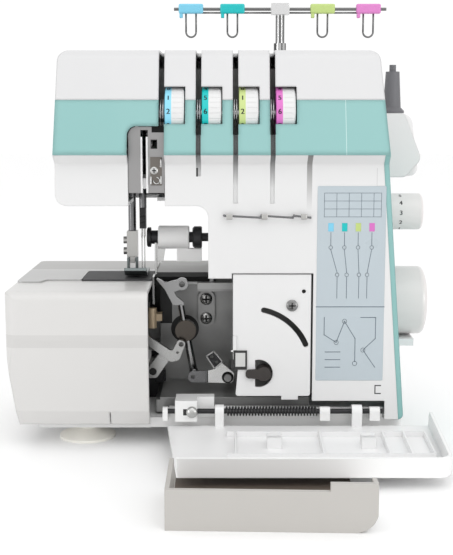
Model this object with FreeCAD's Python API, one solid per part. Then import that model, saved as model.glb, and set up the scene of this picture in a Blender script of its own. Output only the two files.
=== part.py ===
# Four thread overlock sewing machine, threaded side open: front cover folded down, waste tray in front.
# Millimetres, Z up, X to the user's right, Y away from the user, the table top at Z = 0.
import FreeCAD
import Part
import math
import os

os.makedirs("parts", exist_ok=True)
Vector = FreeCAD.Vector
X_AXIS = Vector(1, 0, 0)
Y_AXIS = Vector(0, 1, 0)
Z_AXIS = Vector(0, 0, 1)

# Shared sizes of the housing
FRONT_Y = -25.0                      # front plane of the extension table and of the closed front cover
BED_DEPTH = 170.0
BED_TOP_Z = 127.0
PAN_BOTTOM_Z = 14.0
PAN_TOP_Z = 22.0
COLUMN_FRONT_Y = FRONT_Y + 15.0
BODY_REAR_Y = FRONT_Y + 150.0
SPLIT_Y = FRONT_Y + 90.0             # parting plane of the front and rear shells
SHELL_WALL = 3.0
BED_END_X = -60.0                    # where the extension table meets the machine
COLUMN_LEFT_X = -14.0
HEAD_LEFT_X = -131.0
HEAD_BOTTOM_Z = 190.0
HEAD_TOP_Z = 308.0
BAND_BOTTOM_Z = 229.0
BAND_TOP_Z = 270.0
BAND_FRONT_Y = FRONT_Y + 4.0
HEAD_TOP_FRONT_Y = FRONT_Y + 32.0
BODY_RIGHT_TOP_X = 117.0
BODY_RIGHT_BOTTOM_X = 139.0
OPENING_RIGHT_X = 67.0               # right edge of the looper compartment
OPENING_TOP_Z = 134.0
FAR = 400.0                          # reach of cutting shapes that end outside the machine
FRAME_Y = FRONT_Y + 92.0             # front face of the cast frame plate
FRAME_THICK = 6.0
RUNNING_GAP = 0.06                   # radial clearance of turning and sliding fits
MOVE_GAP = 0.5                       # clearance kept around moving pieces


# Helpers that turn named sizes into solids
def box(x0, x1, y0, y1, z0, z1):
    return Part.makeBox(x1 - x0, y1 - y0, z1 - z0, Vector(x0, y0, z0))


def rod(axis, radius, start, length):
    return Part.makeCylinder(radius, length, start, axis)


def rod_x(radius, x0, x1, y, z):
    return rod(X_AXIS, radius, Vector(x0, y, z), x1 - x0)


def rod_y(radius, y0, y1, x, z):
    return rod(Y_AXIS, radius, Vector(x, y0, z), y1 - y0)


def rod_z(radius, z0, z1, x, y):
    return rod(Z_AXIS, radius, Vector(x, y, z0), z1 - z0)


def tube_x(outer, inner, x0, x1, y, z):
    return rod_x(outer, x0, x1, y, z).cut(rod_x(inner, x0 - 1, x1 + 1, y, z))


def place(plane, across, up, depth):
    if plane == "front":
        return Vector(across, depth, up)
    if plane == "side":
        return Vector(depth, across, up)
    return Vector(across, up, depth)


def rounded_wire(plane, corners, depth):
    # Each corner is (across, up) or (across, up, radius of its rounding)
    count = len(corners)
    edges = []
    starts = []
    ends = []
    mids = []
    for index in range(count):
        here = corners[index]
        before = corners[index - 1]
        after = corners[(index + 1) % count]
        point = Vector(here[0], here[1], 0)
        radius = here[2] if len(here) > 2 else 0
        if radius == 0:
            starts.append(point)
            ends.append(point)
            mids.append(None)
            continue
        to_before = (Vector(before[0], before[1], 0) - point).normalize()
        to_after = (Vector(after[0], after[1], 0) - point).normalize()
        half = to_before.getAngle(to_after) / 2
        cut = radius / math.tan(half)
        centre = point + (to_before + to_after).normalize() * (radius / math.sin(half))
        starts.append(point + to_before * cut)
        ends.append(point + to_after * cut)
        mids.append(centre + (point - centre).normalize() * radius)
    for index in range(count):
        if mids[index] is not None:
            arc = [place(plane, p.x, p.y, depth) for p in (starts[index], mids[index], ends[index])]
            edges.append(Part.Arc(*arc).toShape())
        first = ends[index]
        second = starts[(index + 1) % count]
        if first.distanceToPoint(second) > 1e-6:
            line = [place(plane, p.x, p.y, depth) for p in (first, second)]
            edges.append(Part.makeLine(*line))
    return Part.Wire(edges)


def prism(plane, corners, low, high, inset=0.0):
    face = Part.Face(rounded_wire(plane, corners, low))
    if inset > 0:
        face = face.makeOffset2D(-inset)
    return face.extrude(place(plane, 0, 0, high - low))


def revolve(axis, centre, profile):
    # Profile points are (radius, distance along the axis)
    side = Vector(0, 1, 0) if axis == X_AXIS else Vector(1, 0, 0)
    points = [centre + side * radius + axis * along for radius, along in profile]
    face = Part.Face(Part.makePolygon(points + points[:1]))
    return face.revolve(centre, axis, 360)


def wire_sweep(points, radius):
    # Bent wire through the points, with ball joints at its bends
    pieces = []
    for first, second in zip(points, points[1:]):
        along = second - first
        pieces.append(Part.makeCylinder(radius, along.Length, first, along))
    for point in points[1:-1]:
        pieces.append(Part.makeSphere(radius, point))
    return pieces[0].multiFuse(pieces[1:]) if len(pieces) > 1 else pieces[0]


def turned(shape, centre, axis, degrees):
    copy = shape.copy()
    copy.rotate(centre, axis, degrees)
    return copy


def joined(*shapes):
    return shapes[0].multiFuse(list(shapes[1:])).removeSplitter()


def cut_all(shape, *tools):
    return shape.cut(Part.makeCompound(list(tools)))


def save(name, *shapes):
    solids = []
    for shape in shapes:
        solids.extend(shape.Solids)
    result = solids[0] if len(solids) == 1 else Part.makeCompound(solids)
    result.exportStep("parts/" + name + ".step")


# Base pan: moulded tray under the whole machine, with four rubber feet
PAN_CORNER = 6.0
PAN_FRONT_Y = COLUMN_FRONT_Y + 6.0     # stands back to leave room for the hinge of the front cover
PAN_ARM_LEFT_X = -150.0
PAN_ARM_FRONT_Y = FRONT_Y + 20.0
PAN_ARM_REAR_Y = FRONT_Y + 138.0
PAN_DECK_THICK = 2.0
PAN_DECK_INSET = 9.0
pan_body = prism("plan", [
    (BED_END_X, PAN_FRONT_Y), (BODY_RIGHT_BOTTOM_X, PAN_FRONT_Y, PAN_CORNER),
    (BODY_RIGHT_BOTTOM_X, BODY_REAR_Y, PAN_CORNER), (BED_END_X, BODY_REAR_Y)], PAN_BOTTOM_Z, PAN_TOP_Z)
pan_arm = prism("plan", [
    (PAN_ARM_LEFT_X, PAN_ARM_FRONT_Y, PAN_CORNER), (BED_END_X, PAN_ARM_FRONT_Y),
    (BED_END_X, PAN_ARM_REAR_Y), (PAN_ARM_LEFT_X, PAN_ARM_REAR_Y, PAN_CORNER)], PAN_BOTTOM_Z, PAN_TOP_Z)
pan_deck = box(BED_END_X + PAN_DECK_INSET, BODY_RIGHT_BOTTOM_X - PAN_DECK_INSET,
               COLUMN_FRONT_Y + PAN_DECK_INSET, BODY_REAR_Y - PAN_DECK_INSET,
               PAN_TOP_Z, PAN_TOP_Z + PAN_DECK_THICK)

FOOT_RADIUS = 22.5
FOOT_NECK = 9.0
FOOT_RIM = 2.0
FOOT_SHOULDER_Z = 8.0
FOOT_CENTRES = [(-113.0, FRONT_Y + 45.0), (-113.0, FRONT_Y + 113.0), (108.0, FRONT_Y + 45.0), (108.0,
                                                                                               FRONT_Y + 120.0)]
foot_profile = [(0, 0), (FOOT_RADIUS, 0), (FOOT_RADIUS, FOOT_RIM), (FOOT_NECK + 3, FOOT_SHOULDER_Z - 2),
                (FOOT_NECK, FOOT_SHOULDER_Z), (FOOT_NECK, PAN_BOTTOM_Z), (0, PAN_BOTTOM_Z)]
save("rubber_feet", *[revolve(Z_AXIS, Vector(x, y, 0), foot_profile) for x, y in FOOT_CENTRES])

# Housing shells: one hollow body, parted into top cover, colour band, front, rear and side covers
HEAD_CORNER = 9.0
ARCH_CORNER = 9.0
REAR_TOP_CORNER = 14.0
BAND_STEP_Z = 7.0                    # height of the sloped underside of the band
BED_SEAT_Z = BED_TOP_Z - 4.0
front_outline = [
    (BED_END_X, PAN_TOP_Z), (BODY_RIGHT_BOTTOM_X, PAN_TOP_Z, 4), (BODY_RIGHT_TOP_X, HEAD_TOP_Z, HEAD_CORNER),
    (HEAD_LEFT_X + 2, HEAD_TOP_Z, HEAD_CORNER), (HEAD_LEFT_X, HEAD_BOTTOM_Z, HEAD_CORNER),
    (COLUMN_LEFT_X, HEAD_BOTTOM_Z, ARCH_CORNER), (COLUMN_LEFT_X, BED_SEAT_Z), (BED_END_X, BED_SEAT_Z)]
side_outline = [
    (COLUMN_FRONT_Y, PAN_TOP_Z), (COLUMN_FRONT_Y, BAND_BOTTOM_Z - BAND_STEP_Z, 3),
    (BAND_FRONT_Y, BAND_BOTTOM_Z, 2), (HEAD_TOP_FRONT_Y, HEAD_TOP_Z, 10),
    (BODY_REAR_Y, HEAD_TOP_Z, REAR_TOP_CORNER), (BODY_REAR_Y, PAN_TOP_Z)]


def body_solid(inset):
    across = prism("front", front_outline, -FAR, FAR, inset)
    along = prism("side", side_outline, -FAR, FAR, inset)
    return across.common(along)


shell = body_solid(0).cut(body_solid(SHELL_WALL))
shell = shell.cut(box(BED_END_X + SHELL_WALL, BODY_RIGHT_BOTTOM_X - 2 * SHELL_WALL,
                      COLUMN_FRONT_Y + SHELL_WALL, BODY_REAR_Y - SHELL_WALL,
                      PAN_TOP_Z - 1, PAN_TOP_Z + 2 * SHELL_WALL))

# Four thread slots run over the head, each beside the window of its tension dial
SLOT_FIRST_X = -49.3
SLOT_PITCH = 28.1
SLOT_WIDTH = 4.2
SLOT_BOTTOM_Z = 244.0
SLOT_REAR_Y = FRONT_Y + 86.0
DIAL_OFFSET = 2.6                    # slot centre to the left face of its dial
DIAL_WIDTH = 14.6
DIAL_GAP = 0.9
WINDOW_BOTTOM_Z = 252.0
WINDOW_TOP_Z = 280.0
slot_centres = [SLOT_FIRST_X + SLOT_PITCH * index for index in range(4)]
openings = []
for slot_x in slot_centres:
    openings.append(box(slot_x - SLOT_WIDTH / 2, slot_x + SLOT_WIDTH / 2, FRONT_Y - 5, SLOT_REAR_Y,
                        SLOT_BOTTOM_Z, HEAD_TOP_Z + 5))
    openings.append(box(slot_x, slot_x + DIAL_OFFSET + DIAL_WIDTH + DIAL_GAP, FRONT_Y - 5,
                        HEAD_TOP_FRONT_Y, WINDOW_BOTTOM_Z, WINDOW_TOP_Z))

# Needle opening in the front of the head, and the hole under the head for the bars
FACE_LEFT_X = -75.0
FACE_RIGHT_X = -47.0
FACE_TOP_Z = 250.5
FACE_PLATE_Y = COLUMN_FRONT_Y + 1.0
FACE_PLATE_THICK = 2.0
BARS_LEFT_X = -88.0
BARS_RIGHT_X = -56.0
BARS_FRONT_Y = FRONT_Y + 64.0
BARS_REAR_Y = FRONT_Y + 98.0
openings.append(prism("front", [(FACE_LEFT_X, HEAD_BOTTOM_Z - 5), (FACE_RIGHT_X, HEAD_BOTTOM_Z - 5),
                                (FACE_RIGHT_X, FACE_TOP_Z), (FACE_LEFT_X, FACE_TOP_Z, 7)],
                      FRONT_Y - 5, COLUMN_FRONT_Y + 6))
openings.append(box(BARS_LEFT_X, BARS_RIGHT_X, BARS_FRONT_Y, BARS_REAR_Y,
                    HEAD_BOTTOM_Z - 2, HEAD_BOTTOM_Z + SHELL_WALL + 2))
openings.append(box(FACE_LEFT_X, FACE_RIGHT_X, COLUMN_FRONT_Y + 5, BARS_FRONT_Y + 1,
                    HEAD_BOTTOM_Z - 2, HEAD_BOTTOM_Z + SHELL_WALL + 2))
# Looper compartment: open to the front, to the extension table and to the bed gap
COMPARTMENT_REAR_Y = FRONT_Y + 76.0
openings.append(box(BED_END_X - 2, OPENING_RIGHT_X, FRONT_Y - 5, COMPARTMENT_REAR_Y,
                    PAN_TOP_Z - 1, OPENING_TOP_Z))
# The opening is higher over the white looper panel
PANEL_LEFT_X = 5.0
PANEL_RIGHT_X = 65.5
PANEL_BOTTOM_Z = 40.7
PANEL_TOP_Z = 137.1
PANEL_EDGE_GAP = 0.9
openings.append(box(PANEL_LEFT_X - PANEL_EDGE_GAP, OPENING_RIGHT_X, FRONT_Y - 5, COMPARTMENT_REAR_Y,
                    OPENING_TOP_Z - 1, PANEL_TOP_Z + PANEL_EDGE_GAP))
# The free arm and the lower looper pass through the wall beside the extension table
ARM_REAR_Y = FRONT_Y + 118.0
ARM_WALL_GAP = 2.0
openings.append(box(BED_END_X - 2, BED_END_X + SHELL_WALL + ARM_WALL_GAP, COMPARTMENT_REAR_Y - 1,
                    ARM_REAR_Y + ARM_WALL_GAP, PAN_TOP_Z - 1, BED_SEAT_Z + 1))
# The foot of the tower is notched for the hinge of the front cover
HINGE_NOTCH_TOP_Z = 37.0
HINGE_NOTCH_RIGHT_X = 124.0
openings.append(box(OPENING_RIGHT_X - 1, HINGE_NOTCH_RIGHT_X, FRONT_Y - 5, COLUMN_FRONT_Y + 8,
                    PAN_TOP_Z - 1, HINGE_NOTCH_TOP_Z))
# Hole in the column for the shaft of the upper knife
KNIFE_Y = FRONT_Y + 80.0
KNIFE_Z = BED_TOP_Z + 31.8
KNIFE_SHAFT_RADIUS = 3.5
openings.append(rod_x(KNIFE_SHAFT_RADIUS + MOVE_GAP, COLUMN_LEFT_X - 2, COLUMN_LEFT_X + SHELL_WALL + 2,
                      KNIFE_Y, KNIFE_Z))
# Holes in the right side for the handwheel shaft and the stitch length shaft
SHAFT_Y = FRONT_Y + 105.0
SHAFT_Z = 102.0
SHAFT_RADIUS = 6.0
LENGTH_Y = FRONT_Y + 70.0
LENGTH_Z = 181.0
LENGTH_SHAFT_RADIUS = 4.0
openings.append(rod_x(SHAFT_RADIUS + MOVE_GAP, 110, 150, SHAFT_Y, SHAFT_Z))
openings.append(rod_x(LENGTH_SHAFT_RADIUS + MOVE_GAP, 110, 150, LENGTH_Y, LENGTH_Z))
# Hole in the right side for the mains inlet block
INLET_LEFT_X = 124.0
INLET_RIGHT_X = 146.0
INLET_FRONT_Y = FRONT_Y + 84.0
INLET_REAR_Y = FRONT_Y + 126.0
INLET_BOTTOM_Z = 40.0
INLET_TOP_Z = 70.5
INLET_CORNER = 3.0
INLET_FIT = 0.2


def inlet_block(grow):
    corners = [(INLET_FRONT_Y - grow, INLET_BOTTOM_Z - grow, INLET_CORNER),
               (INLET_REAR_Y + grow, INLET_BOTTOM_Z - grow, INLET_CORNER),
               (INLET_REAR_Y + grow, INLET_TOP_Z + grow, INLET_CORNER),
               (INLET_FRONT_Y - grow, INLET_TOP_Z + grow, INLET_CORNER)]
    return prism("side", corners, INLET_LEFT_X, INLET_RIGHT_X)


openings.append(inlet_block(INLET_FIT))
# Slot in the rear of the head for the presser lifter
LIFTER_X = -78.0
LIFTER_SLOT_HALF = 5.0
LIFTER_SLOT_LOW_Z = 200.0
LIFTER_SLOT_HIGH_Z = 262.0
openings.append(box(LIFTER_X - LIFTER_SLOT_HALF, LIFTER_X + LIFTER_SLOT_HALF, BODY_REAR_Y - 6, BODY_REAR_Y + 6,
                    LIFTER_SLOT_LOW_Z, LIFTER_SLOT_HIGH_Z))
shell = cut_all(shell, *openings)

front_half = shell.common(box(-FAR, FAR, -FAR, SPLIT_Y, 0, FAR))
SIDE_SKIN = 4.0
right_lean = (BODY_RIGHT_BOTTOM_X - BODY_RIGHT_TOP_X) / (HEAD_TOP_Z - PAN_TOP_Z)


def right_x(z):
    return BODY_RIGHT_BOTTOM_X - right_lean * (z - PAN_TOP_Z)


side_region = prism("front", [
    (right_x(PAN_TOP_Z) - SIDE_SKIN, PAN_TOP_Z - 1), (FAR, PAN_TOP_Z - 1), (FAR, BAND_BOTTOM_Z),
    (right_x(BAND_BOTTOM_Z) - SIDE_SKIN, BAND_BOTTOM_Z)], -FAR, FAR)
rear_half = shell.common(box(-FAR, FAR, SPLIT_Y, FAR, 0, FAR))
save("rear_cover", rear_half.cut(side_region))
save("side_cover", shell.common(side_region))
save("head_cover", front_half.common(box(-FAR, FAR, -FAR, FAR, BAND_TOP_Z, FAR)))
# Shallow thread grooves run down from three of the slots, over the band and onto the front
GROOVE_DEPTH = 1.6
GROOVE_WIDTH = 3.0
GROOVE_BOTTOM_ZS = [213.0, 192.0, 192.0]
groove_skin = body_solid(0).cut(body_solid(GROOVE_DEPTH))
grooves = []
for slot_x, groove_bottom_z in zip(slot_centres[1:], GROOVE_BOTTOM_ZS):
    groove_slab = box(slot_x - GROOVE_WIDTH / 2, slot_x + GROOVE_WIDTH / 2, -FAR,
                      COLUMN_FRONT_Y + 2 * SHELL_WALL,
                      groove_bottom_z, SLOT_BOTTOM_Z)
    grooves.append(groove_skin.common(groove_slab))
front_half = cut_all(front_half, *grooves)
head_band = front_half.common(box(-FAR, FAR, -FAR, FAR, BAND_BOTTOM_Z, BAND_TOP_Z))
band_left, band_right = sorted(head_band.Solids, key=lambda solid: solid.CenterOfMass.x)
save("head_band_left", band_left)
save("head_band_right", band_right)
lower_front = front_half.common(box(-FAR, FAR, -FAR, FAR, 0, BAND_BOTTOM_Z)).cut(side_region)
# A cross rib behind the needle opening ties the front together and carries the face plate
RIB_OVERLAP = 5.0
RIB_BOTTOM_Z = 203.0
RIB_TOP_Z = 211.0
rib_y = FACE_PLATE_Y + FACE_PLATE_THICK
cross_rib = box(FACE_LEFT_X - RIB_OVERLAP, FACE_RIGHT_X + RIB_OVERLAP, rib_y, rib_y + SHELL_WALL,
                RIB_BOTTOM_Z, RIB_TOP_Z)
save("front_panel", joined(lower_front, cross_rib))

# Cast frame: upright plate with the bosses that carry bars and shafts
FRAME_REAR_Y = FRAME_Y + FRAME_THICK
BEARING_PLATE_XS = [(20.0, 26.0), (104.0, 110.0)]
FLOOR_TOP_Z = 36.0
FRAME_BOTTOM_Z = PAN_TOP_Z + PAN_DECK_THICK
FRAME_CLEAR = 2.0                    # the frame stays this far inside the shells
frame_outline = [
    (BED_END_X + 4, FRAME_BOTTOM_Z), (BEARING_PLATE_XS[1][1], FRAME_BOTTOM_Z),
    (BODY_RIGHT_TOP_X - 12, HEAD_TOP_Z - 12, 8), (HEAD_LEFT_X + 14, HEAD_TOP_Z - 12, 8),
    (HEAD_LEFT_X + 14, HEAD_BOTTOM_Z + 8), (COLUMN_LEFT_X + SHELL_WALL + FRAME_CLEAR, HEAD_BOTTOM_Z + 8),
    (COLUMN_LEFT_X + SHELL_WALL + FRAME_CLEAR, BED_SEAT_Z - SHELL_WALL),
    (BED_END_X + 4, BED_SEAT_Z - SHELL_WALL)]
frame = prism("front", frame_outline, FRAME_Y, FRAME_REAR_Y)
frame_floor = box(BED_END_X + 4, OPENING_RIGHT_X - 1, COLUMN_FRONT_Y + 15, FRAME_Y + 1, FRAME_BOTTOM_Z,
                  FLOOR_TOP_Z)
bearing_plates = [box(x0, x1, FRAME_REAR_Y - 1, BODY_REAR_Y - 12, FRAME_BOTTOM_Z, SHAFT_Z + 16)
                  for x0, x1 in BEARING_PLATE_XS]
# Bar bosses in the head
NEEDLE_X = -68.8
NEEDLE_Y = FRONT_Y + 80.0
NEEDLE_BAR_RADIUS = 3.0
PRESSER_X = -78.0
PRESSER_Y = FRONT_Y + 84.0
PRESSER_RADIUS = 3.2
BOSS_HEIGHT = 11.0
BOSS_ZS = [HEAD_BOTTOM_Z + 10.0, 274.0]
bosses = [box(PRESSER_X - 6, NEEDLE_X + 6, NEEDLE_Y - 7, FRAME_Y + 1, z, z + BOSS_HEIGHT) for z in BOSS_ZS]
# Arms that hold the tension shaft
TENSION_SHAFT_RADIUS = 3.0
DIAL_RADIUS = 20.0
DIAL_PROUD = 2.0
face_lean = math.atan2(HEAD_TOP_FRONT_Y - BAND_FRONT_Y, HEAD_TOP_Z - BAND_BOTTOM_Z)
dial_face_z = (WINDOW_BOTTOM_Z + WINDOW_TOP_Z) / 2
dial_face_y = BAND_FRONT_Y + (dial_face_z - BAND_BOTTOM_Z) * math.tan(face_lean)
DIAL_Y = dial_face_y + (DIAL_RADIUS - DIAL_PROUD) * math.cos(face_lean)
DIAL_Z = dial_face_z - (DIAL_RADIUS - DIAL_PROUD) * math.sin(face_lean)
TENSION_ARM_WIDTH = 3.5
TENSION_ARM_HALF = 8.0
tension_left_x = slot_centres[0] - 6.0
tension_right_x = slot_centres[3] + DIAL_OFFSET + DIAL_WIDTH + 2.0
tension_arms = [box(x0, x0 + TENSION_ARM_WIDTH, DIAL_Y - TENSION_ARM_HALF, FRAME_Y + 1,
                    DIAL_Z - TENSION_ARM_HALF, DIAL_Z + TENSION_ARM_HALF)
                for x0 in (tension_left_x - TENSION_ARM_WIDTH, tension_right_x)]
# Rocker that drives the needle bar lies behind the plate
ROCKER_ARM = 50.0
ROCKER_Y = NEEDLE_Y + ROCKER_ARM
ROCKER_Z = 240.0
ROCKER_RADIUS = 5.0
ROCKER_LEFT_X = -80.0
ROCKER_RIGHT_X = 40.0
ROCKER_BEARING = 6.0
ROCKER_WINDOW_HALF = 26.0
LIFTER_FRAME_MARGIN = 6.0
rocker_bearings = [box(x0, x0 + ROCKER_BEARING, FRAME_REAR_Y - 1, ROCKER_Y + 9, ROCKER_Z - 9, ROCKER_Z + 9)
                   for x0 in (ROCKER_LEFT_X + 1, ROCKER_RIGHT_X - ROCKER_BEARING - 1)]
# Posts that hold the white looper panel
PANEL_FRONT_Y = COLUMN_FRONT_Y + 1.0
PANEL_THICK = 2.5
PANEL_SCREW = (50.8, 112.8)
PANEL_POST_RADIUS = 4.0
panel_posts = [rod_y(PANEL_POST_RADIUS, PANEL_FRONT_Y + PANEL_THICK, FRAME_Y + 1, x, z)
               for x, z in (PANEL_SCREW, (12.0, 120.0), (58.0, 47.0))]
frame = joined(frame, frame_floor, *bearing_plates, *bosses, *tension_arms, *rocker_bearings, *panel_posts)
MOTOR_Y = FRONT_Y + 123.0
MOTOR_Z = 52.0
MOTOR_SHAFT_RADIUS = 3.0
PIVOT_RADIUS = 3.0
LOOPER_Y = FRONT_Y + 55.0             # front face of the upper looper
# Pivots of the loopers and the take-up lever are pins fixed in the plate
UPPER_PIVOT = (-33.3, 85.1)
LOWER_PIVOT = (-60.0, 52.0)
TAKEUP_PIVOT = (1.0, 49.0)
frame_cuts = [
    rod_z(NEEDLE_BAR_RADIUS + RUNNING_GAP, HEAD_BOTTOM_Z, HEAD_TOP_Z, NEEDLE_X, NEEDLE_Y),
    rod_z(PRESSER_RADIUS + RUNNING_GAP, HEAD_BOTTOM_Z, HEAD_TOP_Z, PRESSER_X, PRESSER_Y),
    rod_x(TENSION_SHAFT_RADIUS, -FAR / 2, FAR / 2, DIAL_Y, DIAL_Z),
    rod_x(ROCKER_RADIUS + RUNNING_GAP, ROCKER_LEFT_X - 1, ROCKER_RIGHT_X + 1, ROCKER_Y, ROCKER_Z),
    rod_x(SHAFT_RADIUS + RUNNING_GAP, 0, 120, SHAFT_Y, SHAFT_Z),
    rod_x(MOTOR_SHAFT_RADIUS + MOVE_GAP + 2, 90, 120, MOTOR_Y, MOTOR_Z),
    box(NEEDLE_X - 8, NEEDLE_X + 11, FRAME_Y - 1, FRAME_REAR_Y + 1,
        ROCKER_Z - ROCKER_WINDOW_HALF, ROCKER_Z + ROCKER_WINDOW_HALF),
    box(LIFTER_X - LIFTER_SLOT_HALF, LIFTER_X + LIFTER_SLOT_HALF, FRAME_Y - 1, FRAME_REAR_Y + 1,
        LIFTER_SLOT_LOW_Z + LIFTER_FRAME_MARGIN, LIFTER_SLOT_LOW_Z + 6 * LIFTER_FRAME_MARGIN)]
MOTOR_RADIUS = 23.0
MOTOR_LEFT_X = 32.0
frame_cuts.append(rod_x(MOTOR_RADIUS + 1, 18, 28, MOTOR_Y, MOTOR_Z))
frame = cut_all(frame, *frame_cuts)
frame = joined(frame, rod_y(PIVOT_RADIUS, LOOPER_Y + 2, FRAME_Y + 1, *UPPER_PIVOT),
               rod_y(PIVOT_RADIUS, FRONT_Y + 40, FRAME_Y + 1, *TAKEUP_PIVOT))

# Main shaft with drive pulley, and the handwheel outside the right side
WHEEL_RIGHT_X = 168.0
WHEEL_RADIUS = 29.0
WHEEL_SIDE_GAP = 1.0
PULLEY_LEFT_X = 113.0
PULLEY_WIDTH = 8.0
PULLEY_RADIUS = 19.0
BELT_THICK = 2.0
SHAFT_LEFT_X = 12.0
shaft_right_x = WHEEL_RIGHT_X - 4.0


def pulley(x0, width, radius, bore, y, z):
    flange = 1.2
    lip = 2.4
    body = revolve(X_AXIS, Vector(x0, y, z), [
        (bore, 0), (radius + lip, 0), (radius + lip, flange), (radius, flange), (radius, width - flange),
        (radius + lip, width - flange), (radius + lip, width), (bore, width)])
    return body


main_shaft = rod_x(SHAFT_RADIUS, SHAFT_LEFT_X, shaft_right_x, SHAFT_Y, SHAFT_Z)
save("main_shaft", joined(main_shaft, pulley(PULLEY_LEFT_X, PULLEY_WIDTH, PULLEY_RADIUS, SHAFT_RADIUS,
                                             SHAFT_Y, SHAFT_Z)))
wheel_left_x = right_x(SHAFT_Z - WHEEL_RADIUS) + WHEEL_SIDE_GAP
wheel_profile = [
    (SHAFT_RADIUS, wheel_left_x), (WHEEL_RADIUS - 2, wheel_left_x), (WHEEL_RADIUS, wheel_left_x + 2),
    (WHEEL_RADIUS, WHEEL_RIGHT_X - 5), (WHEEL_RADIUS - 0.6, WHEEL_RIGHT_X - 3), (WHEEL_RADIUS - 2,
                                                                                 WHEEL_RIGHT_X - 1.5),
    (WHEEL_RADIUS - 6, WHEEL_RIGHT_X), (WHEEL_RADIUS - 10, WHEEL_RIGHT_X), (WHEEL_RADIUS - 12, shaft_right_x),
    (SHAFT_RADIUS, shaft_right_x)]
save("handwheel", revolve(X_AXIS, Vector(0, SHAFT_Y, SHAFT_Z), wheel_profile))

# Motor under the main shaft, its pulley, and the belt that joins the two
MOTOR_RIGHT_X = 98.0
MOTOR_PULLEY_RADIUS = 7.0
motor_body = rod_x(MOTOR_RADIUS, MOTOR_LEFT_X, MOTOR_RIGHT_X, MOTOR_Y, MOTOR_Z)
motor_cap = rod_x(MOTOR_RADIUS - 9, MOTOR_RIGHT_X, MOTOR_RIGHT_X + 5, MOTOR_Y, MOTOR_Z)
motor_foot = box(MOTOR_LEFT_X + 8, MOTOR_RIGHT_X - 8, MOTOR_Y - 16, MOTOR_Y + 16, FRAME_BOTTOM_Z, MOTOR_Z - 12)
motor = joined(motor_body, motor_cap, motor_foot)
motor_bore = rod_x(MOTOR_SHAFT_RADIUS + RUNNING_GAP, MOTOR_RIGHT_X - 20, MOTOR_RIGHT_X + 6, MOTOR_Y, MOTOR_Z)
save("motor", motor.cut(motor_bore))
motor_shaft = rod_x(MOTOR_SHAFT_RADIUS, MOTOR_RIGHT_X - 19, PULLEY_LEFT_X + PULLEY_WIDTH, MOTOR_Y, MOTOR_Z)
save("motor_pulley", joined(pulley(PULLEY_LEFT_X, PULLEY_WIDTH, MOTOR_PULLEY_RADIUS, MOTOR_SHAFT_RADIUS,
                                   MOTOR_Y, MOTOR_Z), motor_shaft))


def belt_loop(radius_a, radius_b):
    # Closed run around the two pulleys, as a face across X
    a = Vector(0, SHAFT_Y, SHAFT_Z)
    b = Vector(0, MOTOR_Y, MOTOR_Z)
    run = b - a
    heading = math.atan2(run.z, run.y)
    spread = math.acos((radius_a - radius_b) / run.Length)
    corners = []
    for side in (1, -1):
        angle = heading + side * spread
        ray = Vector(0, math.cos(angle), math.sin(angle))
        corners.append((a + ray * radius_a, b + ray * radius_b))
    back = Vector(0, -math.cos(heading), -math.sin(heading))
    top = Part.Arc(corners[1][0], a + back * radius_a, corners[0][0]).toShape()
    bottom = Part.Arc(corners[0][1], b - back * radius_b, corners[1][1]).toShape()
    lines = [Part.makeLine(corners[0][0], corners[0][1]), Part.makeLine(corners[1][1], corners[1][0])]
    return Part.Face(Part.Wire([top, lines[0], bottom, lines[1]]))


BELT_SIDE_GAP = 0.4
belt_left_x = PULLEY_LEFT_X + 1.2 + BELT_SIDE_GAP
belt_width = PULLEY_WIDTH - 2 * (1.2 + BELT_SIDE_GAP)
belt_run = MOVE_GAP / 5
outer_run = belt_loop(PULLEY_RADIUS + belt_run + BELT_THICK, MOTOR_PULLEY_RADIUS + belt_run + BELT_THICK)
inner_run = belt_loop(PULLEY_RADIUS + belt_run, MOTOR_PULLEY_RADIUS + belt_run)
belt = outer_run.cut(inner_run).extrude(Vector(belt_width, 0, 0))
belt.translate(Vector(belt_left_x, 0, 0))
save("drive_belt", belt)

# Stitch length dial on the right side
LENGTH_RIGHT_X = 158.0
LENGTH_RADIUS = 14.7
LENGTH_SHAFT_LEFT_X = 116.0
length_left_x = right_x(LENGTH_Z - LENGTH_RADIUS) + MOVE_GAP
length_dial = revolve(X_AXIS, Vector(0, LENGTH_Y, LENGTH_Z), [
    (0, LENGTH_SHAFT_LEFT_X), (LENGTH_SHAFT_RADIUS, LENGTH_SHAFT_LEFT_X), (LENGTH_SHAFT_RADIUS, length_left_x),
    (LENGTH_RADIUS, length_left_x), (LENGTH_RADIUS, LENGTH_RIGHT_X - 1.5), (LENGTH_RADIUS - 1.5,
                                                                            LENGTH_RIGHT_X),
    (0, LENGTH_RIGHT_X)])
save("stitch_length_dial", length_dial)
LENGTH_BUSH_WALL = 4.0
length_bush = tube_x(LENGTH_SHAFT_RADIUS + LENGTH_BUSH_WALL, LENGTH_SHAFT_RADIUS + RUNNING_GAP,
                     right_x(LENGTH_Z) - SIDE_SKIN - 8, right_x(LENGTH_Z) - SIDE_SKIN - 1.0, LENGTH_Y, LENGTH_Z)
LENGTH_ARM_LEFT_X = 98.0
bush_arm = box(right_x(LENGTH_Z) - SIDE_SKIN - 7, right_x(LENGTH_Z) - SIDE_SKIN - 3, LENGTH_Y, FRAME_Y + 2,
               LENGTH_Z - 6, LENGTH_Z + 6)
bush_foot = box(LENGTH_ARM_LEFT_X, right_x(LENGTH_Z) - SIDE_SKIN - 3, FRAME_Y - 4, FRAME_Y + 2,
                LENGTH_Z - 6, LENGTH_Z + 6)
length_bracket = joined(length_bush, bush_arm, bush_foot).cut(
    rod_x(LENGTH_SHAFT_RADIUS + RUNNING_GAP, 100, 140, LENGTH_Y, LENGTH_Z))

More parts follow.
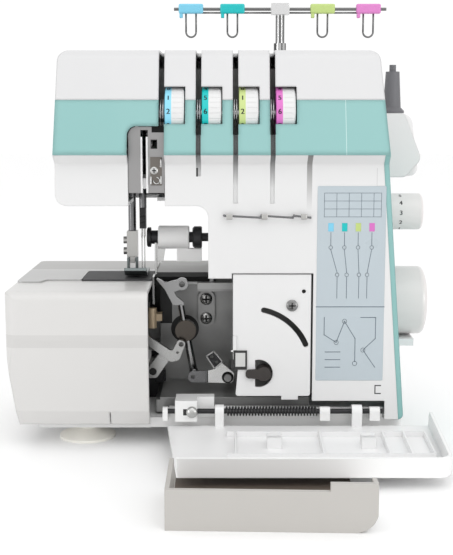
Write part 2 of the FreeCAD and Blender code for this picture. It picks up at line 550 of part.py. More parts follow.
# Mains inlet block with its switch, low on the right side under a short hood
HOOD_RIGHT_X = 157.5
HOOD_BOTTOM_Z = 66.4
HOOD_TOP_Z = SHAFT_Z - WHEEL_RADIUS - 0.7
SWITCH_GAP = 0.4
SWITCH_HALF_Y = 7.0
SWITCH_HALF_Z = 9.5
SWITCH_DEPTH = 8.0
INLET_CAVITY = (INLET_FRONT_Y + 20, INLET_REAR_Y - 3, INLET_BOTTOM_Z + 6, HOOD_BOTTOM_Z - 1.5)
switch_y = INLET_FRONT_Y + 10.0
switch_z = (INLET_BOTTOM_Z + INLET_TOP_Z) / 2
hood = box(right_x(HOOD_BOTTOM_Z) + MOVE_GAP, HOOD_RIGHT_X, INLET_FRONT_Y, INLET_REAR_Y, HOOD_BOTTOM_Z,
           HOOD_TOP_Z)
inlet = joined(inlet_block(0), hood)
switch_well = box(INLET_RIGHT_X - SWITCH_DEPTH, INLET_RIGHT_X + 1, switch_y - SWITCH_HALF_Y - SWITCH_GAP,
                  switch_y + SWITCH_HALF_Y + SWITCH_GAP, switch_z - SWITCH_HALF_Z - 1.4,
                  switch_z + SWITCH_HALF_Z + 1.4)
inlet_cavity = box(INLET_RIGHT_X - 14, INLET_RIGHT_X + 1, *INLET_CAVITY)
inlet_pins = [rod_x(1.3, INLET_RIGHT_X - 15, INLET_RIGHT_X - 3,
                    (INLET_CAVITY[0] + INLET_CAVITY[1]) / 2 + shift, switch_z)
              for shift in (-4.0, 4.0)]
save("power_inlet", joined(cut_all(inlet, switch_well, inlet_cavity), *inlet_pins))
rocker_key = prism("front", [
    (INLET_RIGHT_X - 4.5, switch_z - SWITCH_HALF_Z), (INLET_RIGHT_X - 0.5, switch_z - SWITCH_HALF_Z),
    (INLET_RIGHT_X + 1.0, switch_z), (INLET_RIGHT_X - 0.5, switch_z + SWITCH_HALF_Z),
    (INLET_RIGHT_X - 4.5, switch_z + SWITCH_HALF_Z)], switch_y - SWITCH_HALF_Y, switch_y + SWITCH_HALF_Y)
save("power_switch", rocker_key)

# Tension group: one shaft, four pairs of discs under the slots, four numbered dials
TENSION_DISC_RADIUS = 11.0
TENSION_DISC_THICK = 0.8
TENSION_DISC_SPLIT = 1.0
tension_shaft = rod_x(TENSION_SHAFT_RADIUS, tension_left_x - TENSION_ARM_WIDTH,
                      tension_right_x + TENSION_ARM_WIDTH, DIAL_Y, DIAL_Z)
discs = []
for slot_x in slot_centres:
    for side in (-1, 1):
        inner_x = slot_x + side * TENSION_DISC_SPLIT / 2
        outer_x = inner_x + side * TENSION_DISC_THICK
        discs.append(tube_x(TENSION_DISC_RADIUS, TENSION_SHAFT_RADIUS, min(inner_x, outer_x), max(inner_x,
                                                                                                  outer_x),
                            DIAL_Y, DIAL_Z))
save("tension_shaft", joined(tension_shaft, *discs))
DIAL_NAMES = ["left_needle_dial", "right_needle_dial", "upper_looper_dial", "lower_looper_dial"]
DIAL_KNURLS = 30
for name, slot_x in zip(DIAL_NAMES, slot_centres):
    left_x = slot_x + DIAL_OFFSET
    right_edge_x = left_x + DIAL_WIDTH
    bore = TENSION_SHAFT_RADIUS + RUNNING_GAP
    dial = revolve(X_AXIS, Vector(0, DIAL_Y, DIAL_Z), [
        (bore, left_x), (DIAL_RADIUS - 0.5, left_x), (DIAL_RADIUS, left_x + 0.5), (DIAL_RADIUS,
                                                                                   right_edge_x - 0.8),
        (DIAL_RADIUS - 0.8, right_edge_x), (bore, right_edge_x)])
    knurl = []
    for index in range(DIAL_KNURLS):
        angle = 2 * math.pi * index / DIAL_KNURLS
        knurl.append(rod_x(0.5, left_x + 6.2, right_edge_x + 1, DIAL_Y + (DIAL_RADIUS + 0.2) * math.cos(angle),
                           DIAL_Z + (DIAL_RADIUS + 0.2) * math.sin(angle)))
    save(name, cut_all(dial, *knurl))

# Needle bar drive: rocking shaft behind the frame, with a forked arm to the bar
ROCKER_FORK_GAP = 3.0                # half height of the fork
NEEDLE_PIN_RADIUS = 2.0
ROCKER_ARM_THICK = 5.0
ROCKER_HUB = 8.5
rocker_shaft = rod_x(ROCKER_RADIUS, ROCKER_LEFT_X, ROCKER_RIGHT_X, ROCKER_Y, ROCKER_Z)
arm_left_x = NEEDLE_X + NEEDLE_BAR_RADIUS + MOVE_GAP
rocker_arm = prism("side", [
    (ROCKER_Y + ROCKER_HUB, ROCKER_Z - ROCKER_HUB, 5), (ROCKER_Y + ROCKER_HUB, ROCKER_Z + ROCKER_HUB, 5),
    (NEEDLE_Y - 6, ROCKER_Z + 6.5, 2), (NEEDLE_Y - 6, ROCKER_Z - 6.5, 2)], arm_left_x,
    arm_left_x + ROCKER_ARM_THICK)
fork_slot = box(arm_left_x - 1, arm_left_x + ROCKER_ARM_THICK + 1, NEEDLE_Y - 8, NEEDLE_Y + 7,
                ROCKER_Z - ROCKER_FORK_GAP, ROCKER_Z + ROCKER_FORK_GAP)
save("needle_rocker", joined(rocker_shaft, rocker_arm.cut(fork_slot)))

# Needle bar with pin, clamp block and two needles
NEEDLE_BAR_TOP_Z = 290.0
CLAMP_BOTTOM_Z = 166.3
CLAMP_TOP_Z = 183.2
CLAMP_HALF_X = 2.6
CLAMP_HALF_Y = 4.2
bar = rod_z(NEEDLE_BAR_RADIUS, CLAMP_TOP_Z, NEEDLE_BAR_TOP_Z, NEEDLE_X, NEEDLE_Y)
bar_pin = rod_x(NEEDLE_PIN_RADIUS, NEEDLE_X, arm_left_x + ROCKER_ARM_THICK, NEEDLE_Y, ROCKER_Z)
save("needle_bar", joined(bar, bar_pin))
clamp = box(NEEDLE_X - CLAMP_HALF_X, NEEDLE_X + CLAMP_HALF_X, NEEDLE_Y - CLAMP_HALF_Y, NEEDLE_Y + CLAMP_HALF_Y,
            CLAMP_BOTTOM_Z, CLAMP_TOP_Z)
NEEDLE_PITCH = 2.2
NEEDLE_SHANK = 0.8
NEEDLE_BLADE = 0.45
NEEDLE_TIP_Z = 130.0
NEEDLE_SHOULDER_Z = 158.0
needle_xs = [NEEDLE_X - NEEDLE_PITCH / 2, NEEDLE_X + NEEDLE_PITCH / 2]
clamp_holes = [rod_z(NEEDLE_SHANK, CLAMP_BOTTOM_Z - 1, CLAMP_BOTTOM_Z + 8, x, NEEDLE_Y) for x in needle_xs]
clamp_screws = [rod_y(1.3, NEEDLE_Y - CLAMP_HALF_Y - 2.4, NEEDLE_Y - CLAMP_HALF_Y, NEEDLE_X, z)
                for z in (CLAMP_BOTTOM_Z + 4, CLAMP_BOTTOM_Z + 9)]
save("needle_clamp", joined(cut_all(clamp, *clamp_holes), *clamp_screws))
needles = []
for x in needle_xs:
    needles.append(revolve(Z_AXIS, Vector(x, NEEDLE_Y, 0), [
        (0, NEEDLE_TIP_Z), (NEEDLE_BLADE, NEEDLE_TIP_Z + 4), (NEEDLE_BLADE, NEEDLE_SHOULDER_Z),
        (NEEDLE_SHANK, NEEDLE_SHOULDER_Z + 2), (NEEDLE_SHANK, CLAMP_BOTTOM_Z + 8), (0, CLAMP_BOTTOM_Z + 8)]))
save("needles", *needles)

# Presser bar with its spring seat, foot holder, foot and lifter lever
HOLDER_BOTTOM_Z = 138.5
HOLDER_TOP_Z = 164.0
HOLDER_HALF_X = 4.4
HOLDER_HALF_Y = 4.8
PRESSER_TOP_Z = 292.0
COLLAR_Z = 224.0
COLLAR_HEIGHT = 6.0
COLLAR_RADIUS = 6.0
presser_bar = rod_z(PRESSER_RADIUS, HOLDER_TOP_Z, PRESSER_TOP_Z, PRESSER_X, PRESSER_Y)
presser_collar = rod_z(COLLAR_RADIUS, COLLAR_Z, COLLAR_Z + COLLAR_HEIGHT, PRESSER_X, PRESSER_Y)
save("presser_bar", joined(presser_bar, presser_collar))
FOOT_PIN_RADIUS = 1.2
FOOT_PIN_Z = 139.5
FOOT_TONGUE_HALF = 2.0
FOOT_TONGUE_BOTTOM_Z = 137.2
holder = prism("front", [
    (PRESSER_X - HOLDER_HALF_X, HOLDER_BOTTOM_Z + 4), (PRESSER_X + HOLDER_HALF_X, HOLDER_BOTTOM_Z + 4),
    (PRESSER_X + HOLDER_HALF_X, HOLDER_TOP_Z, 1), (PRESSER_X - HOLDER_HALF_X, HOLDER_TOP_Z, 1)],
    PRESSER_Y - HOLDER_HALF_Y, PRESSER_Y + HOLDER_HALF_Y)
holder_tongue = box(PRESSER_X - FOOT_TONGUE_HALF, PRESSER_X + FOOT_TONGUE_HALF, PRESSER_Y - 3, PRESSER_Y + 3,
                    FOOT_TONGUE_BOTTOM_Z, HOLDER_BOTTOM_Z + 5)
holder_hole = rod_x(FOOT_PIN_RADIUS + RUNNING_GAP, PRESSER_X - 10, PRESSER_X + 10, PRESSER_Y, FOOT_PIN_Z)
HOLDER_SCREW_ZS = [156.0, 147.0]
HOLDER_SCREW_RADIUS = 3.0
HOLDER_SCREW_HEAD = 3.0
holder_screws = [rod_x(HOLDER_SCREW_RADIUS, PRESSER_X - HOLDER_HALF_X - HOLDER_SCREW_HEAD,
                       PRESSER_X - HOLDER_HALF_X, PRESSER_Y, z) for z in HOLDER_SCREW_ZS]
save("foot_holder", joined(holder, holder_tongue, *holder_screws).cut(holder_hole))
SOLE_BOTTOM_Z = 128.8
SOLE_THICK = 2.2
SOLE_LEFT_X = -83.0
SOLE_RIGHT_X = -64.8
SOLE_FRONT_Y = FRONT_Y + 58.0
SOLE_REAR_Y = FRONT_Y + 97.0
EAR_THICK = 2.0
sole = prism("side", [
    (SOLE_FRONT_Y, SOLE_BOTTOM_Z + 5.0), (SOLE_FRONT_Y + 9, SOLE_BOTTOM_Z), (SOLE_REAR_Y, SOLE_BOTTOM_Z),
    (SOLE_REAR_Y, SOLE_BOTTOM_Z + SOLE_THICK), (SOLE_FRONT_Y + 10, SOLE_BOTTOM_Z + SOLE_THICK),
    (SOLE_FRONT_Y + 1, SOLE_BOTTOM_Z + 5.0 + SOLE_THICK)], SOLE_LEFT_X, SOLE_RIGHT_X)
NEEDLE_SLOT_HALF_X = 2.4
NEEDLE_SLOT_HALF_Y = 3.0
sole_slot = box(NEEDLE_X - NEEDLE_SLOT_HALF_X, NEEDLE_X + NEEDLE_SLOT_HALF_X, NEEDLE_Y - NEEDLE_SLOT_HALF_Y,
                NEEDLE_Y + NEEDLE_SLOT_HALF_Y, SOLE_BOTTOM_Z - 1, SOLE_BOTTOM_Z + 12)
ears = []
for side in (-1, 1):
    ear_x = PRESSER_X + side * (FOOT_TONGUE_HALF + MOVE_GAP + EAR_THICK / 2)
    ears.append(box(ear_x - EAR_THICK / 2, ear_x + EAR_THICK / 2, PRESSER_Y - 3.5, PRESSER_Y + 3.5,
                    SOLE_BOTTOM_Z + SOLE_THICK - 0.5, FOOT_PIN_Z + 2.2))
foot_pin = rod_x(FOOT_PIN_RADIUS, PRESSER_X - FOOT_TONGUE_HALF - MOVE_GAP - EAR_THICK,
                 PRESSER_X + FOOT_TONGUE_HALF + MOVE_GAP + EAR_THICK, PRESSER_Y, FOOT_PIN_Z)
save("presser_foot", joined(sole.cut(sole_slot), *ears, foot_pin))
# Lifter lever: its nose lifts the collar of the presser bar from behind the frame
LIFTER_ARM = 36.0
LIFTER_PIVOT_Y = PRESSER_Y + LIFTER_ARM
LIFTER_PIVOT_Z = 218.0
LIFTER_PIN_RADIUS = 3.0
LIFTER_HALF_X = 2.5
LIFTER_NOSE_GAP = 0.35
lifter = prism("side", [
    (PRESSER_Y + PRESSER_RADIUS + 1.0, COLLAR_Z - LIFTER_NOSE_GAP), (PRESSER_Y + PRESSER_RADIUS + 1.0,
                                                                     COLLAR_Z - 6),
    (LIFTER_PIVOT_Y - 2, LIFTER_PIVOT_Z - 7), (LIFTER_PIVOT_Y + 12, LIFTER_PIVOT_Z - 5),
    (BODY_REAR_Y + 22, LIFTER_PIVOT_Z + 10, 3), (BODY_REAR_Y + 22, LIFTER_PIVOT_Z + 18, 3),
    (LIFTER_PIVOT_Y + 10, LIFTER_PIVOT_Z + 6), (LIFTER_PIVOT_Y, LIFTER_PIVOT_Z + 6)],
    PRESSER_X - LIFTER_HALF_X, PRESSER_X + LIFTER_HALF_X)
save("presser_lifter", lifter.cut(rod_x(LIFTER_PIN_RADIUS + RUNNING_GAP, PRESSER_X - 10, PRESSER_X + 10,
                                        LIFTER_PIVOT_Y, LIFTER_PIVOT_Z)))
LIFTER_CHEEK = 3.0
cheeks = []
for side in (-1, 1):
    inner_x = PRESSER_X + side * (LIFTER_HALF_X + MOVE_GAP)
    outer_x = inner_x + side * LIFTER_CHEEK
    cheeks.append(box(min(inner_x, outer_x), max(inner_x, outer_x), FRAME_REAR_Y, LIFTER_PIVOT_Y + 6,
                      LIFTER_PIVOT_Z - 6, LIFTER_PIVOT_Z + 6))
lifter_pin = rod_x(LIFTER_PIN_RADIUS, PRESSER_X - LIFTER_HALF_X - MOVE_GAP - LIFTER_CHEEK,
                   PRESSER_X + LIFTER_HALF_X + MOVE_GAP + LIFTER_CHEEK, LIFTER_PIVOT_Y, LIFTER_PIVOT_Z)
lifter_bracket = joined(cheeks[0], cheeks[1], lifter_pin)

# Face plate behind the needle opening, with its slot, thread guide hole and screw
FACE_BOTTOM_Z = HEAD_BOTTOM_Z + 9.9
face_plate = prism("front", [
    (FACE_LEFT_X + 0.3, FACE_BOTTOM_Z), (FACE_RIGHT_X - 0.3, FACE_BOTTOM_Z),
    (FACE_RIGHT_X - 0.3, FACE_TOP_Z - 0.3), (FACE_LEFT_X + 0.3, FACE_TOP_Z - 0.3, 7)],
    FACE_PLATE_Y, FACE_PLATE_Y + FACE_PLATE_THICK)
FACE_SLOT = (-65.2, -59.6, HEAD_BOTTOM_Z, 247.5)
FACE_HOLE = (-57.5, -52.6, 233.5, 240.3)
face_cuts = [box(x0, x1, FACE_PLATE_Y - 1, FACE_PLATE_Y + 5, z0, z1) for x0, x1, z0, z1 in (FACE_SLOT,
                                                                                            FACE_HOLE)]
FACE_SCREW = (-55.0, 217.0)


def pan_screw(x, y, z, radius, height, cross):
    head = rod_y(radius, y - height, y, x, z)
    slots = [box(x - cross, x + cross, y - height - 1, y - height * 0.45, z - 0.5, z + 0.5),
             box(x - 0.5, x + 0.5, y - height - 1, y - height * 0.45, z - cross, z + cross)]
    return cut_all(head, *slots)


face_screw = pan_screw(FACE_SCREW[0], FACE_PLATE_Y, FACE_SCREW[1], 3.2, 2.0, 2.0)
TAKEUP_EDGE = 1.4
takeup_guide = []
for x0 in (FACE_SLOT[0], FACE_SLOT[1] - TAKEUP_EDGE):
    takeup_guide.append(box(x0, x0 + TAKEUP_EDGE, FACE_PLATE_Y - 1.5, FACE_PLATE_Y + FACE_PLATE_THICK,
                            FACE_BOTTOM_Z, FACE_SLOT[3] - 5.0))
save("face_plate", joined(cut_all(face_plate, *face_cuts), *takeup_guide))

# Extension table: slides off to the left and bares the free arm
TABLE_LEFT_X = -170.0
TABLE_BOTTOM_Z = 19.0
TABLE_WALL = 2.5
TABLE_CHAMFER_Y = 6.0
TABLE_CHAMFER_Z = 31.0
TABLE_LEAN_Y = 6.0                   # the front leans back below its bend
TABLE_BEND_Z = 88.0
TABLE_EDGE = 7.0
TABLE_CORNER = 9.0
PLATE_THICK = 1.2
table_top_z = BED_TOP_Z - PLATE_THICK
table_profile = [
    (FRONT_Y + TABLE_LEAN_Y + TABLE_CHAMFER_Y, TABLE_BOTTOM_Z), (FRONT_Y + TABLE_LEAN_Y, TABLE_CHAMFER_Z),
    (FRONT_Y, TABLE_BEND_Z), (FRONT_Y, table_top_z, TABLE_EDGE),
    (FRONT_Y + BED_DEPTH, table_top_z, 4), (FRONT_Y + BED_DEPTH, TABLE_BOTTOM_Z)]
table_front = [
    (TABLE_LEFT_X + 8, TABLE_BOTTOM_Z), (BED_END_X, TABLE_BOTTOM_Z), (BED_END_X, table_top_z),
    (TABLE_LEFT_X, table_top_z, 3), (TABLE_LEFT_X, 80.0)]


def table_solid(inset):
    along = prism("side", table_profile, TABLE_LEFT_X - 5, BED_END_X + 5, inset)
    plan = prism("plan", [(TABLE_LEFT_X, FRONT_Y, TABLE_CORNER), (BED_END_X, FRONT_Y),
                          (BED_END_X, FRONT_Y + BED_DEPTH), (TABLE_LEFT_X, FRONT_Y + BED_DEPTH, TABLE_CORNER)],
                 0, BED_TOP_Z + 5, inset)
    across = prism("front", table_front, FRONT_Y - 5, FRONT_Y + BED_DEPTH + 5, inset)
    return along.common(plan).common(across)


table_hollow = table_solid(TABLE_WALL)
table = table_solid(0).cut(table_hollow)
opened_side = table_hollow.copy()
opened_side.translate(Vector(2 * TABLE_WALL, 0, 0))
table_foot_y = FRONT_Y + TABLE_LEAN_Y + TABLE_CHAMFER_Y
table = cut_all(table, opened_side, box(TABLE_LEFT_X + 14, BED_END_X + 1, table_foot_y + TABLE_WALL,
                                        FRONT_Y + BED_DEPTH - TABLE_WALL, TABLE_BOTTOM_Z - 1,
                                        TABLE_BOTTOM_Z + 2 * TABLE_WALL))
NEEDLE_PLATE_LEFT_X = -117.0
NEEDLE_PLATE_RIGHT_X = BED_END_X - 1.0
NEEDLE_PLATE_FRONT_Y = FRONT_Y + 56.0
NEEDLE_PLATE_REAR_Y = FRONT_Y + 104.0
plate_notch = box(NEEDLE_PLATE_LEFT_X - MOVE_GAP, BED_END_X + 5, NEEDLE_PLATE_FRONT_Y - MOVE_GAP,
                  NEEDLE_PLATE_REAR_Y + MOVE_GAP, table_top_z - 2 * TABLE_WALL, BED_TOP_Z + 5)
SEAM_X = -91.0
SEAM_WIDTH = 0.8
seam = box(SEAM_X, SEAM_X + SEAM_WIDTH, FRONT_Y - 1, table_foot_y + 1, TABLE_BOTTOM_Z - 1, TABLE_CHAMFER_Z - 1)
save("extension_table", cut_all(table, plate_notch, seam))
PLATE_MARGIN_FRONT = 46.0
PLATE_MARGIN_REAR = 3.0
PLATE_MARGIN_LEFT = 2.0
PLATE_STEP_X = -147.0
PLATE_STEP_Y = 11.0
cloth_front_y = FRONT_Y + PLATE_MARGIN_FRONT
cloth_rear_y = FRONT_Y + BED_DEPTH - PLATE_MARGIN_REAR
cloth_left_x = TABLE_LEFT_X + PLATE_MARGIN_LEFT
cloth = prism("plan", [
    (cloth_left_x, cloth_front_y, 5), (PLATE_STEP_X - 2, cloth_front_y), (PLATE_STEP_X + 2,
                                                                          cloth_front_y + PLATE_STEP_Y),
    (BED_END_X, cloth_front_y + PLATE_STEP_Y), (BED_END_X, cloth_rear_y), (cloth_left_x, cloth_rear_y, 5)],
    table_top_z, BED_TOP_Z)
save("cloth_plate", cloth.cut(plate_notch))

# Fixed bed plate between the extension table and the column
BED_PLATE_FRONT_Y = FRONT_Y + 71.0
bed_plate = box(BED_END_X + 1.0, COLUMN_LEFT_X, BED_PLATE_FRONT_Y, FRONT_Y + BED_DEPTH, BED_SEAT_Z, BED_TOP_Z)
save("bed_plate", bed_plate)

# Free arm: cast box inside the extension table that carries needle plate and feed
ARM_LEFT_X = -150.0
ARM_FRONT_Y = FRONT_Y + 42.0
ARM_BOTTOM_Z = 62.0
ARM_TOP_Z = 121.5
ARM_WALL = 4.0
arm_right_x = BED_END_X + 4.0
arm = prism("side", [(ARM_FRONT_Y, ARM_BOTTOM_Z, 6), (ARM_REAR_Y, ARM_BOTTOM_Z, 6), (ARM_REAR_Y, ARM_TOP_Z, 6),
                     (ARM_FRONT_Y, ARM_TOP_Z, 6)], ARM_LEFT_X, arm_right_x)
arm_hollow = box(ARM_LEFT_X + ARM_WALL, arm_right_x + 1, ARM_FRONT_Y + ARM_WALL, ARM_REAR_Y - ARM_WALL,
                 ARM_BOTTOM_Z + ARM_WALL, ARM_TOP_Z - ARM_WALL)
LOOPER_WELL_LEFT_X = -96.0
looper_well = box(LOOPER_WELL_LEFT_X, arm_right_x + 1, ARM_FRONT_Y - 1, FRAME_Y - 4, ARM_BOTTOM_Z - 1,
                  ARM_TOP_Z + 1)
arm_leg = box(ARM_LEFT_X + 20, ARM_LEFT_X + 32, ARM_FRONT_Y + 20, ARM_REAR_Y - 20, PAN_TOP_Z, ARM_BOTTOM_Z + 1)
free_arm = joined(cut_all(arm, arm_hollow, looper_well), arm_leg)
PLATE_SEAT = 4.0
plate_rails = [box(NEEDLE_PLATE_LEFT_X + 1, LOOPER_WELL_LEFT_X, y, y + PLATE_SEAT, ARM_TOP_Z - 1,
                   BED_TOP_Z - 2.0)
               for y in (NEEDLE_PLATE_FRONT_Y + 1, NEEDLE_PLATE_REAR_Y - 1 - PLATE_SEAT)]
rear_rail = box(LOOPER_WELL_LEFT_X - 2, arm_right_x - 6, NEEDLE_PLATE_REAR_Y - 1 - PLATE_SEAT,
                NEEDLE_PLATE_REAR_Y - 1,
                ARM_TOP_Z - 1, BED_TOP_Z - 2.0)

# Needle plate with needle hole and feed slots, and the toothed feed dogs
NEEDLE_PLATE_THICK = 2.0
needle_plate = prism("plan", [
    (NEEDLE_PLATE_LEFT_X, NEEDLE_PLATE_FRONT_Y, 3), (NEEDLE_PLATE_RIGHT_X, NEEDLE_PLATE_FRONT_Y, 1),
    (NEEDLE_PLATE_RIGHT_X, NEEDLE_PLATE_REAR_Y, 1), (NEEDLE_PLATE_LEFT_X, NEEDLE_PLATE_REAR_Y, 3)],
    BED_TOP_Z - NEEDLE_PLATE_THICK, BED_TOP_Z)
FEED_XS = [-82.0, -77.5, -73.0]
FEED_HALF = 1.1
FEED_FRONT_Y = FRONT_Y + 84.0
FEED_REAR_Y = FRONT_Y + 99.0
FEED_TRAVEL = 2.0
FEED_SIDE = 0.6
feed_slots = [box(x - FEED_HALF - FEED_SIDE, x + FEED_HALF + FEED_SIDE, FEED_FRONT_Y - FEED_TRAVEL - 0.6,
                  FEED_REAR_Y + FEED_TRAVEL + 0.6, BED_TOP_Z - 5, BED_TOP_Z + 1) for x in FEED_XS]
needle_hole = box(NEEDLE_X - NEEDLE_SLOT_HALF_X, NEEDLE_X + NEEDLE_SLOT_HALF_X, NEEDLE_Y - NEEDLE_SLOT_HALF_Y,
                  NEEDLE_Y + NEEDLE_SLOT_HALF_Y, BED_TOP_Z - 5, BED_TOP_Z + 1)
save("needle_plate", cut_all(needle_plate, needle_hole, *feed_slots))
FEED_TOOTH = 1.5
FEED_TOP_Z = BED_TOP_Z + 1.0
FEED_BAR_Z = 110.0
FEED_BAR_HEIGHT = 6.0
feed_profile = [(FEED_FRONT_Y, FEED_BAR_Z + 1), (FEED_FRONT_Y, FEED_TOP_Z - FEED_TOOTH)]
tooth_count = int((FEED_REAR_Y - FEED_FRONT_Y) / FEED_TOOTH)
for index in range(tooth_count):
    start_y = FEED_FRONT_Y + FEED_TOOTH * index
    feed_profile.append((start_y + FEED_TOOTH, FEED_TOP_Z))
    feed_profile.append((start_y + FEED_TOOTH, FEED_TOP_Z - FEED_TOOTH * 0.6))
feed_profile.append((FEED_REAR_Y, FEED_BAR_Z + 1))
feed_teeth = [prism("side", feed_profile, x - FEED_HALF, x + FEED_HALF) for x in FEED_XS]
feed_bar = box(FEED_XS[0] - 3, FEED_XS[-1] + 3, FEED_FRONT_Y, FRONT_Y + 108.0, FEED_BAR_Z,
               FEED_BAR_Z + FEED_BAR_HEIGHT)
save("feed_dogs", joined(feed_bar, *feed_teeth))
GUIDE_DEPTH = 4.0
feed_guide = box(FEED_XS[0] - 8, FEED_XS[-1] + 8, FEED_FRONT_Y + 8, ARM_REAR_Y - ARM_WALL,
                 FEED_BAR_Z - GUIDE_DEPTH - 4, FEED_BAR_Z - RUNNING_GAP)
FEED_WELL_SIDE = 2.5
feed_well = box(FEED_XS[0] - FEED_WELL_SIDE, FEED_XS[-1] + FEED_WELL_SIDE, FEED_FRONT_Y - FEED_TRAVEL - 1,
                FEED_REAR_Y + FEED_TRAVEL + 1.5, ARM_TOP_Z - ARM_WALL - 1, BED_TOP_Z)
save("free_arm", joined(free_arm, *plate_rails, rear_rail, feed_guide).cut(feed_well))

# Fixed lower knife at the right edge of the needle plate
KNIFE_THICK = 1.6
LOWER_KNIFE_FRONT_Y = FRONT_Y + 70.0
LOWER_KNIFE_REAR_Y = FRONT_Y + 86.0
lower_knife = prism("side", [
    (LOWER_KNIFE_FRONT_Y, 104.0), (LOWER_KNIFE_REAR_Y, 104.0), (LOWER_KNIFE_REAR_Y, BED_TOP_Z),
    (LOWER_KNIFE_FRONT_Y, BED_TOP_Z)], NEEDLE_PLATE_RIGHT_X, NEEDLE_PLATE_RIGHT_X + KNIFE_THICK)
save("lower_knife", lower_knife)

# Upper knife: shaft from the column, white drive sleeve, dark knob and blade
upper_blade_x = NEEDLE_PLATE_RIGHT_X + KNIFE_THICK + 0.3
SLEEVE_LEFT_X = -56.2
SLEEVE_RIGHT_X = -30.8
SLEEVE_RADIUS = 9.5
KNOB_LEFT_X = NEEDLE_X + CLAMP_HALF_X + 0.7    # clear of the needle clamp
knife_shaft = rod_x(KNIFE_SHAFT_RADIUS, KNOB_LEFT_X + 2, 2.0, KNIFE_Y, KNIFE_Z)
collar = rod_x(4.4, SLEEVE_RIGHT_X, -28.0, KNIFE_Y, KNIFE_Z)
STOP_RADIUS = 9.0
stop_block = revolve(X_AXIS, Vector(0, KNIFE_Y, KNIFE_Z), [
    (0, -28.0), (STOP_RADIUS - 1.4, -28.0), (STOP_RADIUS, -26.5), (STOP_RADIUS, -21.0), (STOP_RADIUS - 0.6,
                                                                                         -20.3),
    (0, -20.3)])
sleeve = revolve(X_AXIS, Vector(0, KNIFE_Y, KNIFE_Z), [
    (KNIFE_SHAFT_RADIUS, SLEEVE_LEFT_X), (SLEEVE_RADIUS - 0.8, SLEEVE_LEFT_X), (SLEEVE_RADIUS,
                                                                                SLEEVE_LEFT_X + 0.8),
    (SLEEVE_RADIUS, SLEEVE_RIGHT_X - 0.8), (SLEEVE_RADIUS - 0.8, SLEEVE_RIGHT_X), (KNIFE_SHAFT_RADIUS,
                                                                                   SLEEVE_RIGHT_X)])
# Pale bracket that hangs from the sleeve
HANGER_LEFT_X = -41.0
HANGER_RIGHT_X = -20.5
HANGER_BOTTOM_Z = KNIFE_Z - 19.8
HANGER_HALF_Y = 3.0
hanger_low = box(HANGER_LEFT_X, HANGER_RIGHT_X, KNIFE_Y - HANGER_HALF_Y, KNIFE_Y + HANGER_HALF_Y,
                 HANGER_BOTTOM_Z, KNIFE_Z - STOP_RADIUS - 0.3)
hanger_neck = box(HANGER_LEFT_X, SLEEVE_RIGHT_X - 1.0, KNIFE_Y - HANGER_HALF_Y, KNIFE_Y + HANGER_HALF_Y,
                  HANGER_BOTTOM_Z, KNIFE_Z - SLEEVE_RADIUS + 1.5)
save("knife_sleeve", joined(sleeve, hanger_low, hanger_neck))
knob_profile = [(0, KNOB_LEFT_X), (7.2, KNOB_LEFT_X), (8.2, KNOB_LEFT_X + 0.8), (8.2, KNOB_LEFT_X + 3.2),
                (5.6, KNOB_LEFT_X + 3.6), (5.6, SLEEVE_LEFT_X), (0, SLEEVE_LEFT_X)]
knob = revolve(X_AXIS, Vector(0, KNIFE_Y, KNIFE_Z), knob_profile)
save("knife_shaft", joined(knife_shaft, collar, stop_block, knob))
BLADE_HALF_Y = 5.5
blade = prism("side", [
    (KNIFE_Y - BLADE_HALF_Y, BED_TOP_Z + 1.5), (KNIFE_Y + BLADE_HALF_Y, BED_TOP_Z + 2.5),
    (KNIFE_Y + BLADE_HALF_Y, KNIFE_Z - 4), (KNIFE_Y - BLADE_HALF_Y, KNIFE_Z - 4)],
    upper_blade_x, upper_blade_x + KNIFE_THICK)
HOLDER_LEFT_X = upper_blade_x + KNIFE_THICK
knife_holder = prism("front", [
    (HOLDER_LEFT_X, KNIFE_Z - 20), (HOLDER_LEFT_X + 5, KNIFE_Z - 20), (HOLDER_LEFT_X + 8, KNIFE_Z - 4),
    (HOLDER_LEFT_X, KNIFE_Z - 4)], KNIFE_Y - 3, KNIFE_Y + 3)
knife_clear = rod_x(SLEEVE_RADIUS, SLEEVE_LEFT_X, SLEEVE_RIGHT_X, KNIFE_Y, KNIFE_Z)
knob_clear = rod_x(8.3, KNOB_LEFT_X - 1, KNOB_LEFT_X + 3.6, KNIFE_Y, KNIFE_Z)
stem_clear = rod_x(5.6, KNOB_LEFT_X, SLEEVE_LEFT_X, KNIFE_Y, KNIFE_Z)
save("upper_knife", cut_all(joined(blade, knife_holder), knife_clear, knob_clear, stem_clear))
# Bracket in the column that carries the knife shaft
knife_bracket = box(COLUMN_LEFT_X + SHELL_WALL + 2.5, COLUMN_LEFT_X + SHELL_WALL + 12, KNIFE_Y - 9, FRAME_Y,
                    KNIFE_Z - 9, KNIFE_Z + 9)
knife_bracket = knife_bracket.cut(rod_x(KNIFE_SHAFT_RADIUS + RUNNING_GAP, -20, 20, KNIFE_Y, KNIFE_Z))

